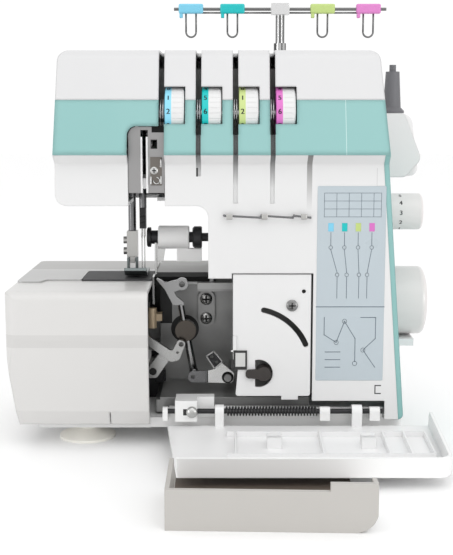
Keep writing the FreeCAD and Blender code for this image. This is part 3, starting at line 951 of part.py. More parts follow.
# Loopers in the open compartment, in front of the frame plate
LOOPER_THICK = 4.0
UPPER_RING = (-36.0, 123.3)
RING_RADIUS = 5.0
RING_HOLE = 2.4
upper_blank = prism("front", [
    (UPPER_RING[0], UPPER_RING[1] + RING_RADIUS - 0.8), (-49.5, 124.5), (-57.0, 128.6, 0.6), (-56.4, 126.6,
                                                                                              0.6),
    (-50.0, 119.0), (-43.5, 106.2, 1), (-34.2, 105.6, 1), (-34.8, 108.6, 1), (-40.6, 113.4, 3), (-42.2, 117.0),
    (UPPER_RING[0], UPPER_RING[1] - RING_RADIUS + 0.8)], LOOPER_Y, LOOPER_Y + LOOPER_THICK)
upper_ring = rod_y(RING_RADIUS, LOOPER_Y, LOOPER_Y + LOOPER_THICK, *UPPER_RING)
upper_looper = joined(upper_blank, upper_ring)
upper_looper = upper_looper.cut(rod_y(RING_HOLE, LOOPER_Y - 1, LOOPER_Y + LOOPER_THICK + 1, *UPPER_RING))
ROD_RADIUS = 2.4
DISC_RADIUS = 8.6
DISC_THICK = 6.0
rod_y0 = LOOPER_Y + LOOPER_THICK / 2
rod_top = Vector(-37.2, rod_y0, 106.6)
rod_mid = Vector(UPPER_PIVOT[0], rod_y0, UPPER_PIVOT[1])
rod_end = Vector(-27.6, rod_y0, 55.0)
guide_disc = rod_y(DISC_RADIUS, LOOPER_Y - 1, LOOPER_Y - 1 + DISC_THICK, *UPPER_PIVOT)
disc_bore = rod_y(PIVOT_RADIUS + RUNNING_GAP, LOOPER_Y + 1.5, LOOPER_Y + 20, *UPPER_PIVOT)
looper_rod = wire_sweep([rod_top, rod_mid, rod_end], ROD_RADIUS)
save("upper_looper", joined(upper_looper, looper_rod, guide_disc).cut(disc_bore))

# Lower looper: bent arm with an eye, clamped on a short link
LOWER_Y = FRONT_Y + 46.0
lower_arm = prism("front", [
    (-66.0, 76.6), (-45.0, 60.8, 3), (-38.2, 62.4, 4), (-32.6, 77.0, 2.6), (-38.8, 79.8, 2.6), (-44.0, 69.6, 2),
    (-63.0, 82.0), (-74.0, 114.0, 0.5), (-76.0, 113.6, 0.5)], LOWER_Y, LOWER_Y + LOOPER_THICK)
eyes = [rod_y(1.9, LOWER_Y - 1, LOWER_Y + 5, -36.6, 75.6), rod_y(1.0, LOWER_Y - 1, LOWER_Y + 5, -39.6, 68.8)]
link = prism("front", [
    (-66.0, 46.6, 4), (-57.0, 46.6, 4), (-44.6, 64.4), (-52.2, 70.2), (-66.0, 52.4, 4)],
    LOWER_Y + LOOPER_THICK, LOWER_Y + LOOPER_THICK + 5)
LINK_PIVOT = LOWER_PIVOT
link_boss = rod_y(5.0, LOWER_Y + LOOPER_THICK + 5, FRAME_Y - 3, *LINK_PIVOT)
link_bore = rod_y(PIVOT_RADIUS + RUNNING_GAP, LOWER_Y, FRAME_Y, *LINK_PIVOT)
save("lower_looper", joined(cut_all(lower_arm, *eyes), link, link_boss).cut(link_bore))
lower_pin = rod_y(PIVOT_RADIUS, LOWER_Y + LOOPER_THICK, FRAME_Y - 2.0, *LOWER_PIVOT)
lower_pin_tab = box(BED_END_X + 4 - 8, BED_END_X + 4, FRAME_Y, FRAME_REAR_Y, 44.0, 60.0)
lower_pivot = joined(lower_pin, lower_pin_tab, rod_y(5.0, FRAME_Y - 2.0, FRAME_Y + 1, *LOWER_PIVOT))

# Looper thread take-up: link, boomerang arm and dark two-eye block
TAKEUP_Y = FRONT_Y + 42.0
TAKEUP_THICK = 4.0
takeup_link = prism("front", [(-31.0, 44.6, 4), (-16.4, 44.6, 1), (-16.4, 54.0, 1), (-31.0, 54.0, 4)],
                    TAKEUP_Y + 1, TAKEUP_Y + TAKEUP_THICK)
link_eye = rod_y(1.6, TAKEUP_Y - 1, TAKEUP_Y + 6, -27.2, 49.4)
takeup_arm = prism("front", [
    (-17.4, 44.6), (5.5, 44.2, 4), (6.4, 52.4, 4), (-4.6, 61.6, 1), (-11.0, 55.4, 1), (-17.4, 54.0)],
    TAKEUP_Y + 1, TAKEUP_Y + TAKEUP_THICK)
takeup_bore = rod_y(PIVOT_RADIUS + RUNNING_GAP, TAKEUP_Y - 1, TAKEUP_Y + 20, *TAKEUP_PIVOT)
link_seam = box(-16.6, -15.2, TAKEUP_Y, TAKEUP_Y + 2.5, 40.0, 58.0)
save("takeup_lever", cut_all(joined(takeup_link, takeup_arm), link_eye, takeup_bore, link_seam))
block = prism("front", [(-16.2, 67.5), (-10.1, 71.4), (-3.2, 62.9), (-9.6, 57.4)], TAKEUP_Y - 3, TAKEUP_Y + 1)
block_eyes = [rod_y(1.5, TAKEUP_Y - 4, TAKEUP_Y + 2, x, z) for x, z in ((-11.8, 66.6), (-7.8, 62.2))]
save("takeup_eyes", cut_all(block, *block_eyes))

# Pieces fixed on the frame plate in the compartment
looper_pad = prism("front", [(-24.0, 82.0, 7), (-9.7, 82.0, 7), (-9.7, 113.6, 7), (-24.0, 113.6, 7)],
                  FRAME_Y - 6, FRAME_Y + 1)
PAD_SCREWS = [(-17.0, 106.0), (-17.0, 89.6)]
pad_screws = [pan_screw(x, FRAME_Y - 6, z, 5.0, 3.0, 3.0) for x, z in PAD_SCREWS]
guide_bar = box(-24.0, 14.0, FRAME_Y - 20, FRAME_Y - 16, 114.4, 121.9)
bar_stub = box(6.0, 14.0, FRAME_Y - 17, FRAME_Y + 1, 114.4, 121.0)
brass = joined(rod_z(3.6, 82.1, 99.2, -62.0, FRAME_Y - 10), box(-64, BED_END_X + 6, FRAME_Y - 11, FRAME_Y,
                                                                88, 94))
save("brass_weight", brass)

# White looper panel with curved slot, screw and threading lever
LEVER_PIVOT = (29.2, 58.8)
SLOT_ARC_CENTRE = (19.0, 63.8)
SLOT_ARC_RADIUS = 46.3
SLOT_ARC_HALF = 2.2
SLOT_ARC_LOW = 23.0
SLOT_ARC_HIGH = 77.5


def arc_slot(radius, half, low, high, pivot, y0, y1):
    ring = rod_y(radius + half, y0, y1, *pivot).cut(rod_y(radius - half, y0 - 1, y1 + 1, *pivot))
    reach = radius * 2
    wedge_points = [(pivot[0], pivot[1])]
    for angle in (low, (low + high) / 2, high):
        wedge_points.append((pivot[0] + reach * math.cos(math.radians(angle)),
                             pivot[1] + reach * math.sin(math.radians(angle))))
    wedge = prism("front", wedge_points, y0, y1)
    caps = [rod_y(half, y0, y1, pivot[0] + radius * math.cos(math.radians(angle)),
                  pivot[1] + radius * math.sin(math.radians(angle))) for angle in (low, high)]
    return ring.common(wedge).multiFuse(caps)


panel = prism("front", [
    (PANEL_LEFT_X, PANEL_BOTTOM_Z + 30, 2), (PANEL_LEFT_X + 4, PANEL_BOTTOM_Z + 22, 2), (PANEL_LEFT_X + 2,
                                                                                         PANEL_BOTTOM_Z, 2),
    (PANEL_RIGHT_X, PANEL_BOTTOM_Z, 2), (PANEL_RIGHT_X, PANEL_TOP_Z), (PANEL_LEFT_X, PANEL_TOP_Z)],
    PANEL_FRONT_Y, PANEL_FRONT_Y + PANEL_THICK)
panel_tab = box(43.0, 56.0, PANEL_FRONT_Y, PANEL_FRONT_Y + PANEL_THICK, PANEL_BOTTOM_Z - 3, PANEL_BOTTOM_Z + 1)
curved_slot = arc_slot(SLOT_ARC_RADIUS, SLOT_ARC_HALF, SLOT_ARC_LOW, SLOT_ARC_HIGH, SLOT_ARC_CENTRE,
                       PANEL_FRONT_Y - 2, PANEL_FRONT_Y + 6)
LEVER_HOLE_RADIUS = 11.0
LEVER_HOLE_SHIFT = -4.1                # the round hole lies left of the pivot and is flat on its left
LEVER_HOLE_FLAT = 6.8
hole_x = LEVER_PIVOT[0] + LEVER_HOLE_SHIFT
lever_hole = rod_y(LEVER_HOLE_RADIUS, PANEL_FRONT_Y - 2, PANEL_FRONT_Y + 6, hole_x, LEVER_PIVOT[1])
lever_hole = lever_hole.common(box(LEVER_PIVOT[0] - LEVER_HOLE_FLAT, FAR, -FAR, FAR, 0, FAR))
dot_hole = rod_y(1.6, PANEL_FRONT_Y - 2, PANEL_FRONT_Y + 6, 59.9, 123.8)
panel_screw = pan_screw(PANEL_SCREW[0], PANEL_FRONT_Y, PANEL_SCREW[1], 4.5, 2.0, 3.0)
LEVER_HUB_RADIUS = 5.6
LEVER_BACK_Y = PANEL_FRONT_Y + PANEL_THICK + 8.0
hub = rod_y(LEVER_HUB_RADIUS, PANEL_FRONT_Y - 3.0, LEVER_BACK_Y, *LEVER_PIVOT)
FINGER_LENGTH = 14.3
finger = prism("front", [
    (LEVER_PIVOT[0] - FINGER_LENGTH, LEVER_PIVOT[1] - 3.2, 2.8), (LEVER_PIVOT[0], LEVER_PIVOT[1] - 4.0),
    (LEVER_PIVOT[0], LEVER_PIVOT[1] + 4.0), (LEVER_PIVOT[0] - FINGER_LENGTH, LEVER_PIVOT[1] + 3.2, 2.8)],
    PANEL_FRONT_Y - 3.0, PANEL_FRONT_Y - MOVE_GAP)
# Arm of the lever behind the panel
LEVER_ARM_ANGLE = math.radians(27.0)
LEVER_ARM_LENGTH = 38.0
back_arm_corners = []
for offset, distance in ((-3.0, 0.0), (-2.0, LEVER_ARM_LENGTH), (2.0, LEVER_ARM_LENGTH), (3.0, 0.0)):
    back_arm_corners.append((LEVER_PIVOT[0] + distance * math.cos(LEVER_ARM_ANGLE) - offset * math.sin(LEVER_ARM_ANGLE),
                             LEVER_PIVOT[1] + distance * math.sin(LEVER_ARM_ANGLE) + offset * math.cos(LEVER_ARM_ANGLE)))
back_arm = prism("front", back_arm_corners, PANEL_FRONT_Y + PANEL_THICK + 1.0,
                 PANEL_FRONT_Y + PANEL_THICK + 3.5)
lever_bore = rod_y(PIVOT_RADIUS + RUNNING_GAP, PANEL_FRONT_Y + 2, LEVER_BACK_Y + 1, *LEVER_PIVOT)
save("threading_lever", joined(hub, finger, back_arm).cut(lever_bore))
lever_pin = rod_y(PIVOT_RADIUS, PANEL_FRONT_Y + 3.0, FRAME_Y + 1, *LEVER_PIVOT)
lever_shoulder = rod_y(6.0, LEVER_BACK_Y + 0.4, FRAME_Y + 1, *LEVER_PIVOT)
BRACKET_THICK = 1.2
bracket_plate = box(5.5, 16.0, PANEL_FRONT_Y - BRACKET_THICK, PANEL_FRONT_Y, 62.1, 77.3)
bracket_strip = box(3.5, 7.9, PANEL_FRONT_Y - BRACKET_THICK, PANEL_FRONT_Y, 76.2, 88.9)
save("looper_panel", joined(cut_all(joined(panel, panel_tab), curved_slot, lever_hole, dot_hole),
                            bracket_plate, bracket_strip))

# Wire thread guides on the column front
GUIDE_Z = 183.0
GUIDE_WIRE = 0.8
GUIDE_PROUD = 4.0
GUIDE_SPANS = [(-1.9, 26.0), (26.6, 50.5), (51.5, 64.0)]
wires = []
for x0, x1 in GUIDE_SPANS:
    wires.append(wire_sweep([Vector(x0, COLUMN_FRONT_Y, GUIDE_Z), Vector(x0, COLUMN_FRONT_Y - GUIDE_PROUD,
                                                                         GUIDE_Z),
                             Vector(x1, COLUMN_FRONT_Y - GUIDE_PROUD, GUIDE_Z - 1.5),
                             Vector(x1, COLUMN_FRONT_Y, GUIDE_Z - 1.5)], GUIDE_WIRE))
save("thread_guides", *wires)

# Hinge rod of the front cover, its posts, and the spring that pushes the cover home
HINGE_Y = FRONT_Y + 14.0
HINGE_Z = 29.0
HINGE_ROD_RADIUS = 2.0
HINGE_LEFT_X = -50.0
HINGE_RIGHT_X = 122.0
save("hinge_rod", rod_x(HINGE_ROD_RADIUS, HINGE_LEFT_X, HINGE_RIGHT_X, HINGE_Y, HINGE_Z))
POST_SPANS = [(-50.0, -46.0), (73.0, 81.0), (112.0, 120.0)]
SLEEVE_SPANS = [(-9.0, -2.0), (98.0, 106.0)]
HINGE_SLEEVE_RADIUS = 3.2
save("cover_bushes", *[tube_x(HINGE_SLEEVE_RADIUS, HINGE_ROD_RADIUS + RUNNING_GAP, x0, x1, HINGE_Y, HINGE_Z)
                       for x0, x1 in SLEEVE_SPANS])
ledge_rail = box(POST_SPANS[0][0], OPENING_RIGHT_X - 1, PAN_FRONT_Y, PAN_FRONT_Y + 8, PAN_TOP_Z, PAN_TOP_Z + 6)
post_bores = rod_x(HINGE_ROD_RADIUS, -FAR, FAR, HINGE_Y, HINGE_Z)
posts = []
for x0, x1 in POST_SPANS:
    stem = box(x0, x1, HINGE_Y - 3.6, PAN_FRONT_Y + 5, PAN_TOP_Z, HINGE_Z)
    head = rod_x(3.6, x0, x1, HINGE_Y, HINGE_Z)
    posts.append(joined(stem, head))

SPRING_WIRE = 0.5
SPRING_RADIUS = 3.4
SPRING_TURNS = 30
SPRING_MARGIN = 0.6
spring_start_x = SLEEVE_SPANS[0][1] + SPRING_MARGIN + SPRING_WIRE
spring_end_x = POST_SPANS[1][0] - SPRING_MARGIN - SPRING_WIRE
spring_pitch = (spring_end_x - spring_start_x - 2 * SPRING_WIRE) / SPRING_TURNS


def spring_point(turn):
    angle = 2 * math.pi * turn
    return Vector(spring_start_x + SPRING_WIRE + spring_pitch * turn, HINGE_Y + SPRING_RADIUS * math.cos(angle),
                  HINGE_Z + SPRING_RADIUS * math.sin(angle))


def spring_heading(turn):
    angle = 2 * math.pi * turn
    return Vector(spring_pitch, -2 * math.pi * SPRING_RADIUS * math.sin(angle),
                  2 * math.pi * SPRING_RADIUS * math.cos(angle)).normalize()


def biarc(first, heading_a, second, heading_b):
    # Two arcs that leave and arrive along the given headings
    chord = second - first
    total = heading_a + heading_b
    slope = 2 * (1 - heading_a.dot(heading_b))
    lean = chord.dot(total)
    reach = (-lean + math.sqrt(lean * lean + slope * chord.dot(chord))) / slope
    joint = (first + second + (heading_a - heading_b) * reach) * 0.5
    arcs = []
    for start, heading, end in ((first, heading_a, joint), (joint, None, second)):
        if heading is None:
            mirror = arc_mid(second, heading_b * -1, joint)
            arcs.append(Part.Arc(joint, mirror, second).toShape())
        else:
            arcs.append(Part.Arc(start, arc_mid(start, heading, end), end).toShape())
    return arcs


def arc_mid(start, heading, end):
    # Middle point of the arc that starts along the heading
    chord = end - start
    half = chord.getAngle(heading) / 2
    side = heading - chord * (heading.dot(chord) / chord.dot(chord))
    if side.Length < 1e-9:
        return start + chord * 0.5
    return start + chord * 0.5 + side.normalize() * (chord.Length / 2 * math.tan(half))


spring_edges = []
STEPS_PER_TURN = 2
for step in range(SPRING_TURNS * STEPS_PER_TURN):
    turn = step / STEPS_PER_TURN
    following = (step + 1) / STEPS_PER_TURN
    spring_edges.extend(biarc(spring_point(turn), spring_heading(turn), spring_point(following),
                              spring_heading(following)))
lead = spring_heading(0)
spring_first = spring_point(0) - lead * (2 * SPRING_WIRE)
spring_last = spring_point(SPRING_TURNS) + spring_heading(SPRING_TURNS) * (2 * SPRING_WIRE)
spring_edges.insert(0, Part.makeLine(spring_first, spring_point(0)))
spring_edges.append(Part.makeLine(spring_point(SPRING_TURNS), spring_last))
spring_path = Part.Wire(spring_edges)
spring_circle = Part.Wire(Part.makeCircle(SPRING_WIRE, spring_first, lead))
spring = spring_path.makePipeShell([spring_circle], True, False)
save("cover_spring", spring)
samples = [spring_point(step / 24) for step in range(SPRING_TURNS * 24 + 1)]
least = min(samples[i].distanceToPoint(samples[j]) for i in range(0, len(samples), 3)
            for j in range(i + 18, min(i + 40, len(samples))))
print("spring: least gap to itself %.2f mm" % (least - 2 * SPRING_WIRE))

# Catch bracket with a ball catch, left of the spring; the hinge rod ends inside it
CATCH_LEFT_X = -40.1
CATCH_STEP_X = -23.0                 # right of here the bracket stands back behind the sliding lug
CATCH_RIGHT_X = -9.7
CATCH_TOP_Z = 38.8
CATCH_REAR_Y = COLUMN_FRONT_Y + 15.0
catch_front_y = HINGE_Y - 6.0
catch_back_y = HINGE_Y + 6.5
catch = joined(box(CATCH_LEFT_X, CATCH_STEP_X, catch_front_y, CATCH_REAR_Y, PAN_TOP_Z, CATCH_TOP_Z),
               box(CATCH_STEP_X - 1, CATCH_RIGHT_X, catch_back_y, CATCH_REAR_Y, PAN_TOP_Z, CATCH_TOP_Z))
CATCH_BALL = (-27.0, 30.0)
CATCH_BALL_RADIUS = 3.8
catch_ball = Part.makeSphere(CATCH_BALL_RADIUS, Vector(CATCH_BALL[0], catch_front_y, CATCH_BALL[1]),
                             Y_AXIS * -1,
                             0, 90, 360)
save("base_pan", joined(pan_body, pan_arm, pan_deck, *posts, ledge_rail, catch).cut(post_bores))
save("pan_screws", face_screw, *pad_screws, panel_screw, catch_ball)

# Front cover: modelled closed, then swung down about the hinge rod
COVER_OPEN_ANGLE = 93.5
COVER_LEFT_X = -46.5
COVER_LIP_LEFT_X = -35.0
COVER_RIGHT_X = 161.0
COVER_TOP_Z = 130.0
COVER_BOTTOM_Z = 30.0
COVER_WALL = 2.5
COVER_LIP_DEPTH = 14.4
cover_front = [(COVER_LEFT_X, COVER_BOTTOM_Z, 2), (COVER_RIGHT_X, COVER_BOTTOM_Z, 2),
               (COVER_RIGHT_X - 3, COVER_TOP_Z, 10), (COVER_LIP_LEFT_X, COVER_TOP_Z, 1)]
cover_block = prism("front", cover_front, FRONT_Y, FRONT_Y + COVER_LIP_DEPTH)
cover_core = prism("front", cover_front, FRONT_Y + COVER_WALL, FRONT_Y + COVER_LIP_DEPTH + 5, COVER_WALL)
cover_left_open = box(-90, COVER_LIP_LEFT_X + 4, FRONT_Y + COVER_WALL, FRONT_Y + 40, 0, COVER_TOP_Z - 4)
cover_bottom_open = box(-90, COVER_RIGHT_X - COVER_WALL, FRONT_Y + COVER_WALL, FRONT_Y + 40, 0, HINGE_Z + 8)
cover = cut_all(cover_block, cover_core, cover_left_open, cover_bottom_open)
LUG_RADIUS = 5.2
lugs = []
for x0, x1 in SLEEVE_SPANS:
    lug_plate = box(x0, x1, FRONT_Y + COVER_WALL - 0.5, HINGE_Y, COVER_BOTTOM_Z, HINGE_Z + LUG_RADIUS)
    lug_head = rod_x(LUG_RADIUS, x0, x1, HINGE_Y, HINGE_Z)
    lugs.append(joined(lug_plate, lug_head))
lug_bore = rod_x(HINGE_SLEEVE_RADIUS + RUNNING_GAP, -FAR, FAR, HINGE_Y, HINGE_Z)
RIB = 1.6
ribs = [box(0.0, 152.0, FRONT_Y + COVER_WALL - 0.5, FRONT_Y + 7, 54.0, 54.0 + RIB),
        box(0.0, 152.0, FRONT_Y + COVER_WALL - 0.5, FRONT_Y + 7, 100.0, 100.0 + RIB)]
for x in (6.0, 70.0, 118.0, 134.0, 150.4):
    ribs.append(box(x, x + RIB, FRONT_Y + COVER_WALL - 0.5, FRONT_Y + 7, 54.0, 101.0))
CLIP_XS = [30.0, 100.0]
for x in CLIP_XS:
    ribs.append(box(x, x + 11, FRONT_Y + COVER_WALL - 0.5, FRONT_Y + 11, 70.0, 71.6))
    ribs.append(box(x, x + 11, FRONT_Y + COVER_WALL - 0.5, FRONT_Y + 11, 79.0, 80.6))
    ribs.append(box(x, x + 11, FRONT_Y + 9.4, FRONT_Y + 11, 70.0, 74.0))
cover = joined(cover, *lugs, *ribs).cut(lug_bore)
hinge_point = Vector(0, HINGE_Y, HINGE_Z)
save("front_cover", turned(cover, hinge_point, X_AXIS, COVER_OPEN_ANGLE))

# Waste tray: stands in front of the open cover, its floor runs back under the machine
TRAY_LEFT_X = -39.0
TRAY_RIGHT_X = 95.0
TRAY_FRONT_LEFT_Y = FRONT_Y - 160.0
TRAY_FRONT_RIGHT_Y = FRONT_Y - 165.0
TRAY_WALL = 3.0
TRAY_FLOOR = 2.0
TRAY_RIM_Z = 27.0
TRAY_HIGH_RIM_Z = 32.5
TRAY_HIGH_FROM_X = 65.0
TRAY_WALL_REAR_Y = FRONT_Y - 97.0
TRAY_TONGUE_REAR_Y = FRONT_Y + 20.0
tray_floor = prism("plan", [
    (TRAY_LEFT_X, TRAY_FRONT_LEFT_Y), (TRAY_RIGHT_X, TRAY_FRONT_RIGHT_Y), (TRAY_RIGHT_X, TRAY_TONGUE_REAR_Y, 6),
    (TRAY_LEFT_X, TRAY_TONGUE_REAR_Y, 6)], 0, TRAY_FLOOR)
tray_block = prism("plan", [
    (TRAY_LEFT_X, TRAY_FRONT_LEFT_Y), (TRAY_RIGHT_X, TRAY_FRONT_RIGHT_Y), (TRAY_RIGHT_X, TRAY_WALL_REAR_Y),
    (TRAY_LEFT_X, TRAY_WALL_REAR_Y)], 0, TRAY_HIGH_RIM_Z)
tray_core = prism("plan", [
    (TRAY_LEFT_X + TRAY_WALL, TRAY_FRONT_LEFT_Y + TRAY_WALL), (TRAY_RIGHT_X - TRAY_WALL,
                                                               TRAY_FRONT_RIGHT_Y + TRAY_WALL),
    (TRAY_RIGHT_X - TRAY_WALL, TRAY_WALL_REAR_Y + 5), (TRAY_LEFT_X + TRAY_WALL, TRAY_WALL_REAR_Y + 5)],
    TRAY_FLOOR, TRAY_HIGH_RIM_Z + 5)
tray_low = box(TRAY_LEFT_X - 5, TRAY_HIGH_FROM_X, -FAR, TRAY_WALL_REAR_Y + 5, TRAY_RIM_Z, TRAY_HIGH_RIM_Z + 5)
# The right side is low behind the front corner
TRAY_SIDE_Z = 8.0
TRAY_SIDE_FRONT = 12.0
tray_side_low = box(TRAY_RIGHT_X - 2 * TRAY_WALL, TRAY_RIGHT_X + 5, TRAY_FRONT_RIGHT_Y + TRAY_SIDE_FRONT,
                    TRAY_WALL_REAR_Y + 5, TRAY_SIDE_Z, TRAY_HIGH_RIM_Z + 5)
TRAY_CORNER = 15.0
tray_trim = prism("front", [
    (TRAY_LEFT_X, 0), (TRAY_RIGHT_X, 0, TRAY_CORNER), (TRAY_RIGHT_X + 1, TRAY_HIGH_RIM_Z),
    (TRAY_LEFT_X, TRAY_HIGH_RIM_Z)], -FAR, FAR)
save("waste_tray", joined(cut_all(tray_block, tray_core, tray_low, tray_side_low),
                          tray_floor).common(tray_trim))

# Spool stand behind the head, with pins, cone holders, telescopic mast and thread guides
STAND_LEFT_X = -76.0
STAND_RIGHT_X = 172.0
STAND_FRONT_Y = BODY_REAR_Y
STAND_DEPTH = 65.0
STAND_REAR_Y = STAND_FRONT_Y + STAND_DEPTH
STAND_BOTTOM_Z = 204.0
STAND_TOP_Z = 260.0
STAND_WALL = 3.0
MAST_X = 48.0
MAST_Y = STAND_FRONT_Y + 35.0
stand_outline = [
    (STAND_LEFT_X + 14, STAND_BOTTOM_Z, 6), (STAND_RIGHT_X - 14, STAND_BOTTOM_Z, 6), (STAND_RIGHT_X,
                                                                                      STAND_BOTTOM_Z + 16, 8),
    (STAND_RIGHT_X - 16, STAND_TOP_Z, 4), (STAND_LEFT_X + 16, STAND_TOP_Z, 4), (STAND_LEFT_X,
                                                                                STAND_BOTTOM_Z + 16, 8)]


def stand_solid(inset):
    across = prism("front", stand_outline, STAND_FRONT_Y - 5, STAND_REAR_Y + 5, inset)
    plan = prism("plan", [(STAND_LEFT_X - 5, STAND_FRONT_Y), (STAND_RIGHT_X + 5, STAND_FRONT_Y),
                          (STAND_RIGHT_X + 5, STAND_REAR_Y, 22), (STAND_LEFT_X - 5, STAND_REAR_Y, 22)], 0,
                          FAR, inset)
    return across.common(plan)


MAST_TUBE_RADIUS = 5.5
MAST_ROD_RADIUS = 4.0
SPOOL_XS = [MAST_X - 102.0, MAST_X - 38.0, MAST_X + 38.0, MAST_X + 102.0]
SPOOL_Y = MAST_Y
SPOOL_PIN_RADIUS = 3.0
stand = stand_solid(0).cut(stand_solid(STAND_WALL))
LIFTER_WINDOW_HALF = 6.0
LIFTER_WINDOW_DEPTH = 30.0
stand_cuts = [rod_z(MAST_TUBE_RADIUS, STAND_TOP_Z - 10, STAND_TOP_Z + 5, MAST_X, MAST_Y),
              box(-FAR, LIFTER_X + LIFTER_WINDOW_HALF, -FAR, STAND_FRONT_Y + LIFTER_WINDOW_DEPTH, 0, FAR)]
stand_cuts.extend(rod_z(SPOOL_PIN_RADIUS, STAND_TOP_Z - 10, STAND_TOP_Z + 5, x, SPOOL_Y) for x in SPOOL_XS)
save("spool_stand", cut_all(stand, *stand_cuts))
HOLDER_CONE_TOP_Z = 297.0
PIN_TOP_Z = 303.0
pins = [rod_z(SPOOL_PIN_RADIUS, STAND_TOP_Z - STAND_WALL, PIN_TOP_Z, x, SPOOL_Y) for x in SPOOL_XS]
holders = []
for x in SPOOL_XS:
    holders.append(revolve(Z_AXIS, Vector(x, SPOOL_Y, 0), [
        (SPOOL_PIN_RADIUS, STAND_TOP_Z), (11.0, STAND_TOP_Z), (11.0, STAND_TOP_Z + 2), (8.0, STAND_TOP_Z + 5),
        (6.2, HOLDER_CONE_TOP_Z), (SPOOL_PIN_RADIUS, HOLDER_CONE_TOP_Z)]))
save("spool_holders", *[joined(pin, holder) for pin, holder in zip(pins, holders)])
BAR_Z = 352.0
MAST_TRAVEL = 20.0
MAST_HUB_HALF = 5.0
MAST_TUBE_DROP = MAST_TRAVEL + MAST_HUB_HALF + 5.0    # the hub stays above the tube when the mast is pushed down
mast_tube_top_z = BAR_Z - MAST_TUBE_DROP
tube = rod_z(MAST_TUBE_RADIUS, STAND_TOP_Z - STAND_WALL, mast_tube_top_z, MAST_X, MAST_Y)
tube = tube.cut(rod_z(MAST_ROD_RADIUS + RUNNING_GAP, STAND_TOP_Z, mast_tube_top_z + 1, MAST_X, MAST_Y))
save("mast_tube", tube)
GUIDE_BAR_RADIUS = 1.4
BAR_LEFT_X = -47.0
BAR_RIGHT_X = 143.0
mast_rod_bottom_z = STAND_TOP_Z + MAST_TRAVEL + 2.0
hub = box(MAST_X - 8, MAST_X + 8, MAST_Y - 5, MAST_Y + 5, BAR_Z - MAST_HUB_HALF, BAR_Z + MAST_HUB_HALF)
save("guide_mast", joined(rod_z(MAST_ROD_RADIUS, mast_rod_bottom_z, BAR_Z, MAST_X, MAST_Y), hub,
                          rod_x(GUIDE_BAR_RADIUS, BAR_LEFT_X, BAR_RIGHT_X, MAST_Y, BAR_Z)))
CLIP_HALF = 11.0
CLIP_THICK = 3.0
LOOP_WIRE = 0.7
LOOP_DROP = 21.0
LOOP_HALF = 4.5
CLIP_CENTRES = [-31.8, 5.3, 86.0, 127.0]
mast_clips = []
for x in CLIP_CENTRES:
    clip = prism("side", [(MAST_Y - CLIP_THICK, BAR_Z - 4), (MAST_Y + CLIP_THICK, BAR_Z - 4),
                          (MAST_Y + CLIP_THICK, BAR_Z + 4.6, 2), (MAST_Y - CLIP_THICK, BAR_Z + 4.6, 2)],
                 x - CLIP_HALF, x + CLIP_HALF)
    clip = clip.cut(rod_x(GUIDE_BAR_RADIUS, -FAR, FAR, MAST_Y, BAR_Z))
    base_z = BAR_Z - 3.5
    loop = wire_sweep([Vector(x - LOOP_HALF, MAST_Y, base_z), Vector(x - LOOP_HALF, MAST_Y, base_z - LOOP_DROP),
                       Vector(x + LOOP_HALF, MAST_Y, base_z - LOOP_DROP), Vector(x + LOOP_HALF, MAST_Y,
                                                                                 base_z)],
                      LOOP_WIRE)
    mast_clips.append(joined(clip, loop))
save("guide_clips", *mast_clips)

# The frame is complete with the brackets of the lever, lifter, knife and looper groups
save("frame_casting", joined(frame, length_bracket, lifter_bracket, knife_bracket, lower_pivot, looper_pad,
                             guide_bar, bar_stub, lever_pin, lever_shoulder))
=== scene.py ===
import math
import bmesh
import bpy
from mathutils import Matrix, Vector


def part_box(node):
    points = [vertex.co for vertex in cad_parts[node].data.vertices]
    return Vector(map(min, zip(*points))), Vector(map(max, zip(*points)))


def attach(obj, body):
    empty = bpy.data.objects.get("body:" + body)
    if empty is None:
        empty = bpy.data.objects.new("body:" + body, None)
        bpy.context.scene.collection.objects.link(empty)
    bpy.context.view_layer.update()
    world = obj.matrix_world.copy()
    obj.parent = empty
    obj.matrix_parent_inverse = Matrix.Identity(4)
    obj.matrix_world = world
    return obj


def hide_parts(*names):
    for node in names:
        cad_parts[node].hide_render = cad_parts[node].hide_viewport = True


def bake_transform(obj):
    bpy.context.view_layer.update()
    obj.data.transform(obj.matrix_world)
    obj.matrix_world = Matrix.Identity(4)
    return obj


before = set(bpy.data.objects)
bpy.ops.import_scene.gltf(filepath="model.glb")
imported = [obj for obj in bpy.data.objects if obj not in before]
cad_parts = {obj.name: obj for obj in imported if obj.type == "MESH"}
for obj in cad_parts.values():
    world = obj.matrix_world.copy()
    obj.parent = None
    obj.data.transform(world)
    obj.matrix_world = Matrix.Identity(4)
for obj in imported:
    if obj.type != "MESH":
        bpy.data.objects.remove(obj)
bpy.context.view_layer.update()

# Base pan and feet. The pan is a pale moulding of filled nylon that carries everything; it
# stands on four soft rubber feet that are pushed into its underside.
DRIFT_SCALE = 28.0
DRIFT_DETAIL = 3.0
GRAIN_REACH = 0.0002
EDGE_SAMPLES = 4
LEAST_ROUGHNESS = 0.02


